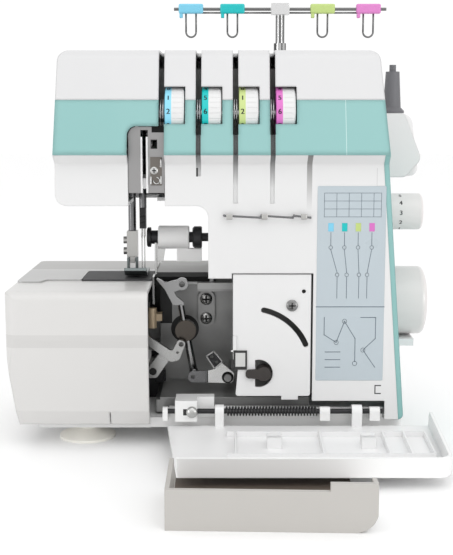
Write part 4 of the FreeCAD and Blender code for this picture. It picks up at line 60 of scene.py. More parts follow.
def surface(name, colour, roughness, metallic=0.0, grain=1400.0, depth=0.08, mottle=0.025,
            spread=0.06, coat=0.0, softness=0.0005, sheen=0.5):
    # Moulded or metal surface: fine grain in the bump, slow drift in colour and gloss, softened edges
    material = bpy.data.materials.new(name)
    material.use_nodes = True
    tree = material.node_tree
    shader = tree.nodes["Principled BSDF"]
    shader.inputs["Metallic"].default_value = metallic
    shader.inputs["Coat Weight"].default_value = coat
    shader.inputs["Specular IOR Level"].default_value = sheen
    place = tree.nodes.new("ShaderNodeTexCoord")
    drift = tree.nodes.new("ShaderNodeTexNoise")
    drift.inputs["Scale"].default_value = DRIFT_SCALE
    drift.inputs["Detail"].default_value = DRIFT_DETAIL
    fine = tree.nodes.new("ShaderNodeTexNoise")
    fine.inputs["Scale"].default_value = grain
    tree.links.new(place.outputs["Object"], drift.inputs["Vector"])
    tree.links.new(place.outputs["Object"], fine.inputs["Vector"])
    tint = tree.nodes.new("ShaderNodeValToRGB")
    tint.color_ramp.elements[0].color = [max(0.0, c * (1 - mottle)) for c in colour] + [1.0]
    tint.color_ramp.elements[1].color = [min(1.0, c * (1 + mottle)) for c in colour] + [1.0]
    tree.links.new(drift.outputs["Fac"], tint.inputs["Fac"])
    tree.links.new(tint.outputs["Color"], shader.inputs["Base Color"])
    gloss = tree.nodes.new("ShaderNodeMapRange")
    gloss.inputs["To Min"].default_value = max(LEAST_ROUGHNESS, roughness - spread)
    gloss.inputs["To Max"].default_value = min(1.0, roughness + spread)
    tree.links.new(drift.outputs["Fac"], gloss.inputs["Value"])
    tree.links.new(gloss.outputs["Result"], shader.inputs["Roughness"])
    bump = tree.nodes.new("ShaderNodeBump")
    bump.inputs["Strength"].default_value = depth
    bump.inputs["Distance"].default_value = GRAIN_REACH
    edge = tree.nodes.new("ShaderNodeBevel")
    edge.samples = EDGE_SAMPLES
    edge.inputs["Radius"].default_value = softness
    tree.links.new(edge.outputs["Normal"], bump.inputs["Normal"])
    tree.links.new(fine.outputs["Fac"], bump.inputs["Height"])
    tree.links.new(bump.outputs["Normal"], shader.inputs["Normal"])
    return material


def dress(material, *names):
    for name in names:
        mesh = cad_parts[name].data
        mesh.materials.clear()
        mesh.materials.append(material)


def reckon(tree, kind, operation, *inputs):
    # A reckoning node; each input is a socket or a constant
    node = tree.nodes.new(kind)
    node.operation = operation
    for index, value in enumerate(inputs):
        if isinstance(value, bpy.types.NodeSocket):
            tree.links.new(value, node.inputs[index])
        else:
            node.inputs[index].default_value = value
    return node


def lay_paint(material, inside, colour):
    # Lays a colour over what a material has so far, where the socket inside is one
    tree = material.node_tree
    shader = tree.nodes["Principled BSDF"]
    under = shader.inputs["Base Color"].links[0].from_socket
    blend = tree.nodes.new("ShaderNodeMix")
    blend.data_type = "RGBA"
    blend.inputs["B"].default_value = list(colour) + [1.0]
    tree.links.new(inside, blend.inputs["Factor"])
    tree.links.new(under, blend.inputs["A"])
    tree.links.new(blend.outputs["Result"], shader.inputs["Base Color"])
    return blend


def patch(material, colour, across, deep, up, foot=None):
    # Paints the part of a piece that lies inside a box, given as its spans along X, Y and Z; with a foot
    # colour the paint fades towards its foot
    tree = material.node_tree
    low = Vector((across[0], deep[0], up[0]))
    high = Vector((across[1], deep[1], up[1]))
    half = (high - low) / 2
    place = tree.nodes.new("ShaderNodeTexCoord")
    offset = reckon(tree, "ShaderNodeVectorMath", "SUBTRACT", place.outputs["Object"], (low + high) / 2)
    away = reckon(tree, "ShaderNodeVectorMath", "ABSOLUTE", offset.outputs["Vector"])
    past = reckon(tree, "ShaderNodeVectorMath", "SUBTRACT", away.outputs["Vector"], half)
    split = tree.nodes.new("ShaderNodeSeparateXYZ")
    tree.links.new(past.outputs["Vector"], split.inputs["Vector"])
    wide = reckon(tree, "ShaderNodeMath", "MAXIMUM", split.outputs["X"], split.outputs["Y"])
    widest = reckon(tree, "ShaderNodeMath", "MAXIMUM", wide.outputs["Value"], split.outputs["Z"])
    inside = reckon(tree, "ShaderNodeMath", "LESS_THAN", widest.outputs["Value"], 0.0)
    blend = lay_paint(material, inside.outputs["Value"], colour)
    if foot is not None:
        level = tree.nodes.new("ShaderNodeSeparateXYZ")
        tree.links.new(offset.outputs["Vector"], level.inputs["Vector"])
        rise = tree.nodes.new("ShaderNodeMapRange")
        rise.inputs["From Min"].default_value = -half.z
        rise.inputs["From Max"].default_value = half.z
        tree.links.new(level.outputs["Z"], rise.inputs["Value"])
        fade = tree.nodes.new("ShaderNodeMix")
        fade.data_type = "RGBA"
        fade.inputs["A"].default_value = list(foot) + [1.0]
        fade.inputs["B"].default_value = list(colour) + [1.0]
        tree.links.new(rise.outputs["Result"], fade.inputs["Factor"])
        tree.links.new(fade.outputs["Result"], blend.inputs["B"])


# The pan's white is set lighter than the shell's, a painted light that makes up for the shade under the
# machine.
pan_nylon = surface("pan_pale_nylon", (0.84, 0.84, 0.835), 0.5)
# The catch slit is painted shade on the pan.
CATCH_SLIT = ((-0.0338, -0.0238), (-0.0175, -0.0160), (0.0272, 0.0322))
CATCH_SLIT_SHADE = (0.02, 0.02, 0.02)
patch(pan_nylon, CATCH_SLIT_SHADE, *CATCH_SLIT)
dress(pan_nylon, "base_pan")
# The feet's pale colour is set lighter, a painted light that makes up for the shade they stand in.
foot_rubber = surface("foot_rubber", (0.92, 0.90, 0.84), 0.75, grain=700.0, depth=0.2)
dress(foot_rubber, "rubber_feet")

# Frame casting and free arm. Die cast aluminium, bead blasted and slightly oily, with machined bores;
# the bars, loopers and shafts all run in it. Painted shade darkens its deep recesses and a ring round
# the upper looper's guide disc.


def patch_disc(material, colour, centre, radius):
    # Paints what lies within a radius of an axis along Y
    tree = material.node_tree
    place = tree.nodes.new("ShaderNodeTexCoord")
    centred = tree.nodes.new("ShaderNodeMapping")
    centred.inputs["Location"].default_value = (-centre[0], 0.0, -centre[1])
    centred.inputs["Scale"].default_value = (1.0, 0.0, 1.0)
    tree.links.new(place.outputs["Object"], centred.inputs["Vector"])
    reach = reckon(tree, "ShaderNodeVectorMath", "LENGTH", centred.outputs["Vector"])
    inside = reckon(tree, "ShaderNodeMath", "LESS_THAN", reach.outputs["Value"], radius)
    lay_paint(material, inside.outputs["Value"], colour)


cast_aluminium = surface("cast_aluminium", (0.285, 0.285, 0.282), 0.36, metallic=0.6, grain=420.0,
                         depth=0.35, mottle=0.5)
CASTING_SHADE = (0.025, 0.025, 0.025)
RECESS_DEPTH = (0.0, 0.2)
RECESSES = [((-0.066, -0.046), (0.084, 0.1255)), ((-0.066, -0.053), (0.034, 0.060))]
for recess_across, recess_up in RECESSES:
    patch(cast_aluminium, CASTING_SHADE, recess_across, RECESS_DEPTH, recess_up)
GUIDE_BAR = ((-0.0305, 0.010), (0.0, 0.0625), (0.1165, 0.1262))
GUIDE_BAR_COLOUR = (0.40, 0.40, 0.395)
patch(cast_aluminium, GUIDE_BAR_COLOUR, *GUIDE_BAR)
DISC_SHADOW_RING = (-0.0352, 0.0795)
DISC_SHADOW_RADIUS = 0.0118
patch_disc(cast_aluminium, CASTING_SHADE, DISC_SHADOW_RING, DISC_SHADOW_RADIUS)
dress(cast_aluminium, "frame_casting", "free_arm")

# Drive inside the right tower: ground main shaft with its pulley, a small black motor on the pan and
# the belt between them. The rocker, the tension shaft and the lifter are plain ground steel too.
shaft_steel = surface("ground_shaft_steel", (0.50, 0.50, 0.51), 0.26, metallic=1.0, grain=2400.0, depth=0.05,
                      mottle=0.06)
dress(shaft_steel, "main_shaft", "motor_pulley", "needle_rocker", "tension_shaft", "presser_lifter")
belt_rubber = surface("belt_rubber", (0.03, 0.03, 0.03), 0.7, grain=900.0, depth=0.25)
dress(belt_rubber, "drive_belt")
motor_enamel = surface("motor_black_enamel", (0.05, 0.05, 0.055), 0.4)
dress(motor_enamel, "motor")

# Housing shells. White satin mouldings screwed together from behind; the band round the head and
# the cover of the right side are moulded in aqua. The shells' white is set darker than the panels' to
# offset the light on the head's top, a painted shade.
SHELL_COLOUR = (0.655, 0.655, 0.66)
AQUA_COLOUR = (0.245, 0.475, 0.46)
SHELL_SOFTNESS = 0.0022
shell_white = surface("white_satin_shell", SHELL_COLOUR, 0.36, mottle=0.012, coat=0.15,
                      softness=SHELL_SOFTNESS)
shell_aqua = surface("aqua_satin_shell", AQUA_COLOUR, 0.32, mottle=0.02, coat=0.2, softness=SHELL_SOFTNESS)
dress(shell_white, "head_cover", "rear_cover")
dress(shell_aqua, "side_cover")

# Thread slots: four are cut over the head, and the band's part of three is painted dark as painted shade.
# Three run on as shallow grooves over the band and the front panel, painted with shade that fades
# towards their foot; the first has a darker tip of painted shade, and painted shade runs down the
# column's edge next to the tower. Fine seams part the band and the front of the tower, the band's seam
# painted as a light line, a painted highlight; painted shade draws the rim of a latch hole for the front
# cover low on the tower.
SLOT_CENTRES = [-0.0212, 0.0069, 0.0350]
SLOT_HALF = 0.0019
SLOT_END_Z = 0.244
SLOT_PAINTED_SHADE = (0.10, 0.11, 0.11)
BAND_LOW_Z = 0.229
BAND_HIGH_Z = 0.272
BAND_DEPTH = (-0.1, 0.1)
BAND_SEAM = (0.0898, 0.0902)
BAND_SEAM_HIGHLIGHT = (0.55, 0.72, 0.70)
PANEL_DEPTH = (-0.1, 0.0)
GROOVE_HIGH_Z = BAND_LOW_Z + 0.002
GROOVE_ENDS = [0.2125, 0.206, 0.204]
GROOVE_SHADE = (0.14, 0.14, 0.14)
GROOVE_FOOT = (0.735, 0.735, 0.735)
GROOVE_TIP = (SLOT_CENTRES[0] - SLOT_HALF, SLOT_CENTRES[0] - SLOT_HALF / 4)
GROOVE_TIP_HEIGHT = (0.2125, 0.219)
GROOVE_TIP_SHADE = (0.03, 0.03, 0.03)
COLUMN_EDGE = (0.0612, 0.0652)
COLUMN_EDGE_HEIGHT = (0.187, GROOVE_HIGH_Z)
COLUMN_EDGE_SHADE = (0.16, 0.155, 0.15)
band_aqua = surface("aqua_band", AQUA_COLOUR, 0.3, mottle=0.02, coat=0.25, softness=0.006)
# The front panel's white is set lighter than the shell's, a painted light that makes up for the shade under
# the head.
panel_white = surface("white_front_panel", (0.745, 0.745, 0.745), 0.36, mottle=0.012, coat=0.15,
                      softness=0.0012)
for slot_x, groove_end in zip(SLOT_CENTRES, GROOVE_ENDS):
    slot_span = (slot_x - SLOT_HALF, slot_x + SLOT_HALF)
    patch(band_aqua, SLOT_PAINTED_SHADE, slot_span, BAND_DEPTH, (BAND_LOW_Z, SLOT_END_Z))
    patch(panel_white, GROOVE_SHADE, slot_span, PANEL_DEPTH, (groove_end, GROOVE_HIGH_Z), GROOVE_FOOT)
patch(panel_white, GROOVE_TIP_SHADE, GROOVE_TIP, PANEL_DEPTH, GROOVE_TIP_HEIGHT)
patch(panel_white, COLUMN_EDGE_SHADE, COLUMN_EDGE, PANEL_DEPTH, COLUMN_EDGE_HEIGHT, GROOVE_FOOT)
patch(band_aqua, BAND_SEAM_HIGHLIGHT, BAND_SEAM, BAND_DEPTH, (BAND_LOW_Z, BAND_HIGH_Z))
SEAM_COLOUR = (0.60, 0.60, 0.60)
SEAM_HALF = 0.00025
SEAM_LEFT_X = 0.1146
SEAM_RIGHT_X = 0.2
SEAM_Z = 0.2053
SEAM_TOP_Z = 0.2190
SEAMS = [((SEAM_LEFT_X, SEAM_RIGHT_X), (SEAM_Z - SEAM_HALF, SEAM_Z + SEAM_HALF)),
         ((SEAM_LEFT_X - SEAM_HALF, SEAM_LEFT_X + SEAM_HALF), (SEAM_Z, SEAM_TOP_Z))]
for seam_across, seam_up in SEAMS:
    patch(panel_white, SEAM_COLOUR, seam_across, PANEL_DEPTH, seam_up)
LATCH_LEFT_X = 0.1158
LATCH_RIGHT_X = 0.1209
LATCH_LOW_Z = 0.0425
LATCH_HIGH_Z = 0.0498
LATCH_RIM = 0.0009
LATCH_SHADE = (0.04, 0.04, 0.04)
LATCH_RIMS = [((LATCH_LEFT_X, LATCH_LEFT_X + LATCH_RIM), (LATCH_LOW_Z, LATCH_HIGH_Z)),
              ((LATCH_LEFT_X, LATCH_RIGHT_X), (LATCH_HIGH_Z - LATCH_RIM, LATCH_HIGH_Z)),
              ((LATCH_LEFT_X, LATCH_RIGHT_X), (LATCH_LOW_Z, LATCH_LOW_Z + LATCH_RIM))]
for rim_across, rim_up in LATCH_RIMS:
    patch(panel_white, LATCH_SHADE, rim_across, PANEL_DEPTH, rim_up)
dress(band_aqua, "head_band_left", "head_band_right")
dress(panel_white, "front_panel")

# Face plate in the needle opening: bent sheet steel on a cross rib, with a slot for the take-up and
# a white nylon edge on each side of it. Painted shade darkens its upper right corner.
face_steel = surface("face_plate_steel", (0.325, 0.32, 0.32), 0.34, metallic=0.85, grain=1900.0, depth=0.06,
                     mottle=0.05)
FACE_EDGES = [(-0.0653, -0.0637), (-0.0611, -0.0595)]
FACE_EDGE_DEPTH = (-0.02, 0.0)
FACE_EDGE_HEIGHT = (0.19, 0.2435)
FACE_EDGE_COLOUR = (0.78, 0.78, 0.78)
for face_edge in FACE_EDGES:
    patch(face_steel, FACE_EDGE_COLOUR, face_edge, FACE_EDGE_DEPTH, FACE_EDGE_HEIGHT)
FACE_CORNER = ((-0.0567, -0.0450), (-0.1, 0.1), (0.2457, 0.2600))
FACE_CORNER_SHADE = (0.012, 0.012, 0.012)
patch(face_steel, FACE_CORNER_SHADE, *FACE_CORNER)
dress(face_steel, "face_plate")

# Needle bar and presser bar. Ground steel that has darkened with oil; the needles are bright plated
# and sit in a black clamp with two grub screws.
bar_steel = surface("oiled_bar_steel", (0.17, 0.17, 0.175), 0.25, metallic=1.0, grain=2600.0, depth=0.04,
                    mottle=0.08)
bright_steel = surface("plated_steel", (0.52, 0.52, 0.515), 0.24, metallic=1.0, grain=2600.0, depth=0.04,
                       mottle=0.06)
black_steel = surface("blackened_steel", (0.022, 0.022, 0.024), 0.38, metallic=0.4, grain=900.0, depth=0.1)
dress(bar_steel, "needle_bar", "presser_bar")
dress(bright_steel, "needles", "feed_dogs", "lower_knife")
dress(black_steel, "needle_clamp")

# Presser foot on its holder: the holder is a pale nickelled block with two screws, the foot a dark
# stamping that tilts on a pin.
holder_nickel = surface("holder_nickel", (0.46, 0.455, 0.44), 0.3, metallic=0.9, grain=2200.0, depth=0.05)
foot_steel = surface("dark_foot_steel", (0.19, 0.215, 0.215), 0.32, metallic=0.9, grain=2200.0, depth=0.06)
dress(holder_nickel, "foot_holder")
dress(foot_steel, "presser_foot")

# Upper knife: hardened blade in a steel holder, black shaft with knob and stop, and a white moulded
# drive sleeve with a hanging bracket.
dress(black_steel, "knife_shaft")
dress(bright_steel, "upper_knife")
# The sleeve's white is set lighter than the shell's, a painted light that makes up for the shade under the
# head.
sleeve_nylon = surface("sleeve_white_nylon", (0.97, 0.965, 0.96), 0.45)
dress(sleeve_nylon, "knife_sleeve")

# Loopers and take-up in the open compartment. Stamped plates, polished; the upper looper's guide disc is
# bare brownish iron, the take-up is jointed from two plates, the left painted much darker than the right,
# and its eye block is black.
looper_steel = surface("looper_polished_steel", (0.27, 0.27, 0.27), 0.22, metallic=1.0, grain=2600.0,
                       depth=0.04, mottle=0.06)
GUIDE_DISC = (-0.0333, 0.0851)
GUIDE_DISC_RADIUS = 0.0087
GUIDE_DISC_COLOUR = (0.075, 0.066, 0.058)
patch_disc(looper_steel, GUIDE_DISC_COLOUR, GUIDE_DISC, GUIDE_DISC_RADIUS)
dress(looper_steel, "upper_looper")
link_steel = surface("link_satin_steel", (0.42, 0.42, 0.415), 0.28, metallic=0.95, grain=2600.0, depth=0.04,
                     mottle=0.06)
dress(link_steel, "lower_looper")
takeup_steel = surface("takeup_satin_steel", (0.76, 0.76, 0.755), 0.28, metallic=0.95, grain=2600.0,
                       depth=0.04, mottle=0.06)
TAKEUP_LEFT_X = -0.1
TAKEUP_JOINT_X = -0.0153
TAKEUP_JOINT_HALF = 0.0004
TAKEUP_SPAN = (0.0, 0.1)
TAKEUP_LINK_COLOUR = (0.20, 0.20, 0.205)
TAKEUP_JOINT_SHADE = (0.03, 0.03, 0.03)
TAKEUP_PIN = (0.001, 0.049)
TAKEUP_PIN_RADIUS = 0.0048
TAKEUP_PIN_SHADE = (0.02, 0.02, 0.02)
takeup_joint = (TAKEUP_JOINT_X - TAKEUP_JOINT_HALF, TAKEUP_JOINT_X + TAKEUP_JOINT_HALF)
patch(takeup_steel, TAKEUP_LINK_COLOUR, (TAKEUP_LEFT_X, TAKEUP_JOINT_X), TAKEUP_SPAN, TAKEUP_SPAN)
patch(takeup_steel, TAKEUP_JOINT_SHADE, takeup_joint, TAKEUP_SPAN, TAKEUP_SPAN)
patch_disc(takeup_steel, TAKEUP_PIN_SHADE, TAKEUP_PIN, TAKEUP_PIN_RADIUS)
dress(takeup_steel, "takeup_lever")
dress(black_steel, "takeup_eyes")
turned_brass = surface("turned_brass", (0.80, 0.63, 0.43), 0.36, metallic=0.25, grain=1500.0)
dress(turned_brass, "brass_weight")

# Looper panel: white cover plate screwed to three posts, with a curved slot and a keyhole. Near its left
# edge a dark notch is painted as painted shade, with a small metal thread guide painted grey in it and a
# short dark slit of painted shade above; the threading lever in the keyhole is brown nylon. The panel's
# white is set lighter than the shell's, a painted light that makes up for the shade under the head.
plate_white = surface("white_looper_panel", (0.76, 0.76, 0.76), 0.38, mottle=0.012, coat=0.1, softness=0.0008)
PLATE_DEPTH = (-0.02, -0.0092)
PLATE_MARKS = [((0.02, 0.02, 0.02), (0.0053, 0.0163), (0.0619, 0.0776)),
               ((0.60, 0.60, 0.59), (0.0070, 0.0146), (0.0645, 0.0755)),
               ((0.05, 0.05, 0.05), (0.0034, 0.0050), (0.0776, 0.0890))]
for mark_colour, mark_across, mark_up in PLATE_MARKS:
    patch(plate_white, mark_colour, mark_across, PLATE_DEPTH, mark_up)
dress(plate_white, "looper_panel")
lever_nylon = surface("lever_brown_nylon", (0.030, 0.025, 0.022), 0.5, grain=800.0, depth=0.15)
dress(lever_nylon, "threading_lever")

# Pan head screws and the ball of the catch. Plated steel, turned with a low dome; the screws have a cross
# recess that is black with shadow, and the one on the looper panel is painted darker as painted shade.
FACING_FRONT = Matrix.Rotation(math.radians(90.0), 4, "X")
SCREW_SIDES = 40
DOME_WALL = 0.45
DOME_STEPS = [(0.12, 0.20), (0.16, 0.15), (0.22, 0.12), (0.25, 0.08)]
CROSS_LEVEL = 0.93
CROSS_LENGTH = 1.15
CROSS_DEPTH = 0.16
CROSS_WIDTH = 0.26


def mesh_object(name, build, materials):
    # Turns a finished bmesh into an object of the scene
    mesh = bpy.data.meshes.new(name)
    build.to_mesh(mesh)
    build.free()
    for material in materials:
        mesh.materials.append(material)
    made = bpy.data.objects.new(name, mesh)
    bpy.context.scene.collection.objects.link(made)
    return made


def build_piece(name, build, materials, body):
    # Turns a finished bmesh into a piece that rides on a body
    bmesh.ops.recalc_face_normals(build, faces=build.faces)
    made = mesh_object(name, build, materials)
    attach(made, body)
    return made


def edges_of(verts):
    return list({edge for vert in verts for edge in vert.link_edges})


def round_edges(build, edges, offset, segments=2):
    bmesh.ops.bevel(build, geom=edges, offset=offset, segments=segments, profile=0.5, affect="EDGES",
                    material=-1)


def bar(build, centre, size, material=0, turn=None, round_off=0.0):
    # A bevelled bar or plate with its place in the mesh
    verts = bmesh.ops.create_cube(build, size=1.0)["verts"]
    place = Matrix.Translation(Vector(centre))
    if turn is not None:
        place = place @ turn
    place = place @ Matrix.Diagonal(Vector((size[0], size[1], size[2], 1.0)))
    bmesh.ops.transform(build, matrix=place, verts=verts)
    faces = {face for vert in verts for face in vert.link_faces}
    for face in faces:
        face.material_index = material
    if round_off > 0:
        round_edges(build, edges_of(verts), round_off)


def domed_head(build, centre, radius, height, crossed):
    # Low dome that faces the front, drawn up from a disc in a few insets
    ring = bmesh.ops.create_circle(build, cap_ends=True, segments=SCREW_SIDES, radius=radius,
                                   matrix=Matrix.Translation(Vector(centre)) @ FACING_FRONT)
    top = ring["verts"][0].link_faces[0]
    lift = bmesh.ops.extrude_face_region(build, geom=[top])
    moved = [item for item in lift["geom"] if isinstance(item, bmesh.types.BMVert)]
    bmesh.ops.translate(build, verts=moved, vec=(0.0, -height * DOME_WALL, 0.0))
    top = [item for item in lift["geom"] if isinstance(item, bmesh.types.BMFace)][0]
    build.normal_update()
    for share, rise in DOME_STEPS:
        bmesh.ops.inset_region(build, faces=[top], thickness=radius * share, depth=0.0)
        bmesh.ops.translate(build, verts=list(top.verts), vec=(0.0, -height * rise, 0.0))
    if crossed:
        tip = Vector(centre) + Vector((0.0, -height * CROSS_LEVEL, 0.0))
        cross_size = (radius * CROSS_LENGTH, height * CROSS_DEPTH, radius * CROSS_WIDTH)
        for turn in (0.0, 90.0):
            bar(build, tip, cross_size, 1, Matrix.Rotation(math.radians(turn), 4, "Y"))


SCREWS = [((-0.055, -0.009, 0.217), 0.0032, 0.0020), ((-0.017, 0.061, 0.106), 0.0050, 0.0030),
          ((-0.017, 0.061, 0.0896), 0.0050, 0.0030), ((0.0508, -0.009, 0.1128), 0.0045, 0.0020)]
CATCH_BALL = (-0.0270, -0.017, 0.0300)
CATCH_BALL_RADIUS = 0.0044
CATCH_BALL_HEIGHT = CATCH_BALL_RADIUS * 0.95
screw_build = bmesh.new()
for screw_place, screw_radius, screw_height in SCREWS:
    domed_head(screw_build, screw_place, screw_radius, screw_height, True)
domed_head(screw_build, CATCH_BALL, CATCH_BALL_RADIUS, CATCH_BALL_HEIGHT, False)
screw_plating = surface("screw_plating", (0.50, 0.50, 0.49), 0.26, metallic=1.0, grain=2600.0, depth=0.04)
PANEL_SCREW_REACH = 0.006
PANEL_SCREW_COLOUR = (0.24, 0.24, 0.24)
panel_screw = SCREWS[-1][0]
panel_screw_box = [(middle - PANEL_SCREW_REACH, middle + PANEL_SCREW_REACH) for middle in panel_screw]
patch(screw_plating, PANEL_SCREW_COLOUR, *panel_screw_box)
recess_shadow = surface("recess_shadow", (0.012, 0.012, 0.012), 0.6, grain=900.0, depth=0.1)
screw_heads = build_piece("screw_heads", screw_build, [screw_plating, recess_shadow], "machine")
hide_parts("pan_screws")

# Thread guide on the face plate: a small bent steel plate under the face screw, with a lug on each side
# and a wire hook that leads the thread to the needles.
FACE_GUIDE = Vector((-0.0535, -0.0096, 0.2165))
FACE_GUIDE_SIZE = (0.0088, 0.0012, 0.0215)
FACE_GUIDE_ROUND = 0.0004
FACE_LUG_SIZE = (0.0012, 0.0032, 0.0060)
FACE_LUG_ROUND = 0.0003
FACE_LUGS = [(1, -0.0065), (1, 0.0060), (-1, -0.0068)]
FACE_PROUD = 0.0016
HOOK_PLACE = (0.0004, -FACE_PROUD, -0.0070)
HOOK_WIRE = 0.0005
HOOK_RADIUS = 0.0024
HOOK_SIDES = 8
HOOK_STEPS = 18
HOOK_TURN = math.radians(270.0)


def bent_wire(build, centre, radius, wire, sides, turn, steps):
    # A round wire that starts on the left of a centre and is bent about it in an upright plane
    start = (centre[0] - radius, centre[1], centre[2])
    section = bmesh.ops.create_circle(build, segments=sides, radius=wire, matrix=Matrix.Translation(start))
    bmesh.ops.spin(build, geom=edges_of(section["verts"]), cent=centre, axis=(0.0, -1.0, 0.0),
                   dvec=(0.0, 0.0, 0.0), angle=turn, steps=steps, use_duplicate=False)


def close_ends(build):
    open_edges = [edge for edge in build.edges if edge.is_boundary]
    bmesh.ops.holes_fill(build, edges=open_edges, sides=0)


guide_steel = surface("guide_brown_steel", (0.16, 0.145, 0.13), 0.36, metallic=0.7, grain=1900.0, depth=0.06)
guide_build = bmesh.new()
bar(guide_build, FACE_GUIDE, FACE_GUIDE_SIZE, 0, None, FACE_GUIDE_ROUND)
for side, height in FACE_LUGS:
    lug_shift = Vector((side * (FACE_GUIDE_SIZE[0] - FACE_LUG_SIZE[0]) / 2, -FACE_PROUD, height))
    bar(guide_build, FACE_GUIDE + lug_shift, FACE_LUG_SIZE, 1, None, FACE_LUG_ROUND)
plate_faces = set(guide_build.faces)
hook_centre = FACE_GUIDE + Vector(HOOK_PLACE)
bent_wire(guide_build, hook_centre, HOOK_RADIUS, HOOK_WIRE, HOOK_SIDES, HOOK_TURN, HOOK_STEPS)
close_ends(guide_build)
for face in set(guide_build.faces) - plate_faces:
    face.material_index = 1
    face.smooth = True
build_piece("face_guide", guide_build, [guide_steel, bright_steel], "machine")

# Rim of the take-up's eye block: a narrow plated strip pressed round the block's front edge, which holds
# the thread in the two eyes.
EYE_CORNERS = [(-0.0162, 0.0675), (-0.0101, 0.0714), (-0.0032, 0.0629), (-0.0096, 0.0574)]
EYE_RIM_Y = 0.0138
EYE_RIM_WIDTH = 0.0011
EYE_RIM_THICK = 0.0006
EYE_RIM_ROUND = 0.00015


def strip(build, first, last, width, thick, material=0, round_off=0.0):
    # A flat strip between two points of an upright plane, with both ends drawn out by half its width
    along = last - first
    slope = Matrix.Rotation(-math.atan2(along.z, along.x), 4, "Y")
    bar(build, (first + last) / 2, (along.length + width, thick, width), material, slope, round_off)


rim_build = bmesh.new()
eye_points = [Vector((across, EYE_RIM_Y, up)) for across, up in EYE_CORNERS]
for first, last in zip(eye_points, eye_points[1:] + eye_points[:1]):
    strip(rim_build, first, last, EYE_RIM_WIDTH, EYE_RIM_THICK, 0, EYE_RIM_ROUND)
build_piece("eye_block_rim", rim_build, [link_steel], "takeup")

# Sleeve on the upper looper's rod: a drawn steel tube pushed over the rod below the disc, with a turned
# collar at its lower end.
ROD_TOP = Vector((-0.0333, 0.0320, 0.0851))
ROD_FOOT = Vector((-0.0276, 0.0320, 0.0550))
SLEEVE_START = 0.0080
SLEEVE_END = 0.0360
SLEEVE_RADIUS = 0.0031
SLEEVE_SIDES = 28
SLEEVE_EDGE = 0.0004
COLLAR_RADIUS = 0.0035
COLLAR_LENGTH = 0.0030
SLEEVE_TUBES = [(SLEEVE_START, SLEEVE_END, SLEEVE_RADIUS),
                (SLEEVE_END - COLLAR_LENGTH, SLEEVE_END + SLEEVE_EDGE, COLLAR_RADIUS)]


def rod(build, middle, radius, length, sides, turn=None):
    # A round rod with closed ends, upright unless it is turned
    place = Matrix.Translation(middle)
    if turn is not None:
        place = place @ turn
    made = bmesh.ops.create_cone(build, cap_ends=True, segments=sides, radius1=radius, radius2=radius,
                                 depth=length, matrix=place)
    return made["verts"]


rod_along = (ROD_FOOT - ROD_TOP).normalized()
rod_turn = rod_along.to_track_quat("Z", "Y").to_matrix().to_4x4()
sleeve_build = bmesh.new()
for first, last, radius in SLEEVE_TUBES:
    middle = ROD_TOP + rod_along * (first + last) / 2
    tube = rod(sleeve_build, middle, radius, last - first, SLEEVE_SIDES, rod_turn)
    caps = {face for vert in tube for face in vert.link_faces if len(face.verts) == SLEEVE_SIDES}
    rims = list({edge for face in caps for edge in face.edges})
    round_edges(sleeve_build, rims, SLEEVE_EDGE)
for face in sleeve_build.faces:
    face.smooth = len(face.verts) == 4
build_piece("looper_rod_sleeve", sleeve_build, [looper_steel], "looper_upper")

# Block under the lower looper: a small black moulded block on the casting's foot, a dark piece put where
# there is only shade, that closes the view into the space below the table.
GUARD_LOW = Vector((-0.0665, 0.0580, 0.0200))
GUARD_HIGH = Vector((-0.0515, 0.0640, 0.0450))
GUARD_ROUND = 0.0008
GUARD_NOSE_SIZE = (0.007, 0.003, 0.008)
GUARD_NOSE_ROUND = 0.0006
GUARD_NOSE_SHIFT = 0.002
GUARD_NOSE_PROUD = 0.001
GUARD_NOSE_DROP = 0.006
guard_build = bmesh.new()
guard_middle = (GUARD_LOW + GUARD_HIGH) / 2
bar(guard_build, guard_middle, GUARD_HIGH - GUARD_LOW, 0, None, GUARD_ROUND)
guard_nose = (guard_middle.x + GUARD_NOSE_SHIFT, GUARD_LOW.y - GUARD_NOSE_PROUD,
              GUARD_HIGH.z - GUARD_NOSE_DROP)
bar(guard_build, guard_nose, GUARD_NOSE_SIZE, 0, None, GUARD_NOSE_ROUND)
build_piece("shade_block", guard_build, [black_steel], "machine")

# Printed foil on the right tower: pale blue film stuck on the moulding, with a plain diagram of lines:
# four colour keys, their threads through round eyes, and an empty table.
CHART_LEFT_X = 0.0695
CHART_RIGHT_X = 0.1219
CHART_BOTTOM_Z = 0.0535
CHART_TOP_Z = 0.2053
CHART_Y = -0.010
CHART_FILM = 0.00025
CHART_CORNER = 0.0009
CHART_CORNER_SEGMENTS = 4
INK_PROUD = 0.00006
chart_width = CHART_RIGHT_X - CHART_LEFT_X
chart_height = CHART_TOP_Z - CHART_BOTTOM_Z
chart_middle = ((CHART_LEFT_X + CHART_RIGHT_X) / 2, CHART_Y - CHART_FILM / 2,
                (CHART_BOTTOM_Z + CHART_TOP_Z) / 2)
film_build = bmesh.new()
bar(film_build, chart_middle, (chart_width, CHART_FILM, chart_height))
corner_edges = [edge for edge in film_build.edges
                if abs(edge.verts[0].co.y - edge.verts[1].co.y) > CHART_FILM * 0.5]
round_edges(film_build, corner_edges, CHART_CORNER, CHART_CORNER_SEGMENTS)
chart_film = surface("chart_pale_blue_film", (0.475, 0.540, 0.580), 0.3, grain=2400.0, depth=0.02,
                     mottle=0.012, coat=0.3)
build_piece("chart_foil", film_build, [chart_film], "machine")
ink_build = bmesh.new()
ink_y = CHART_Y - CHART_FILM - INK_PROUD / 2
FINE_LINE = 0.00035
THREAD_LINE = 0.0005
DIAGRAM_LINE = 0.0006
DIVIDER_LINE = 0.0007
KEY_LINE = 0.0042
THREAD_EYE = 0.0014
DIAGRAM_EYE = 0.0017
EYE_STROKES = 12


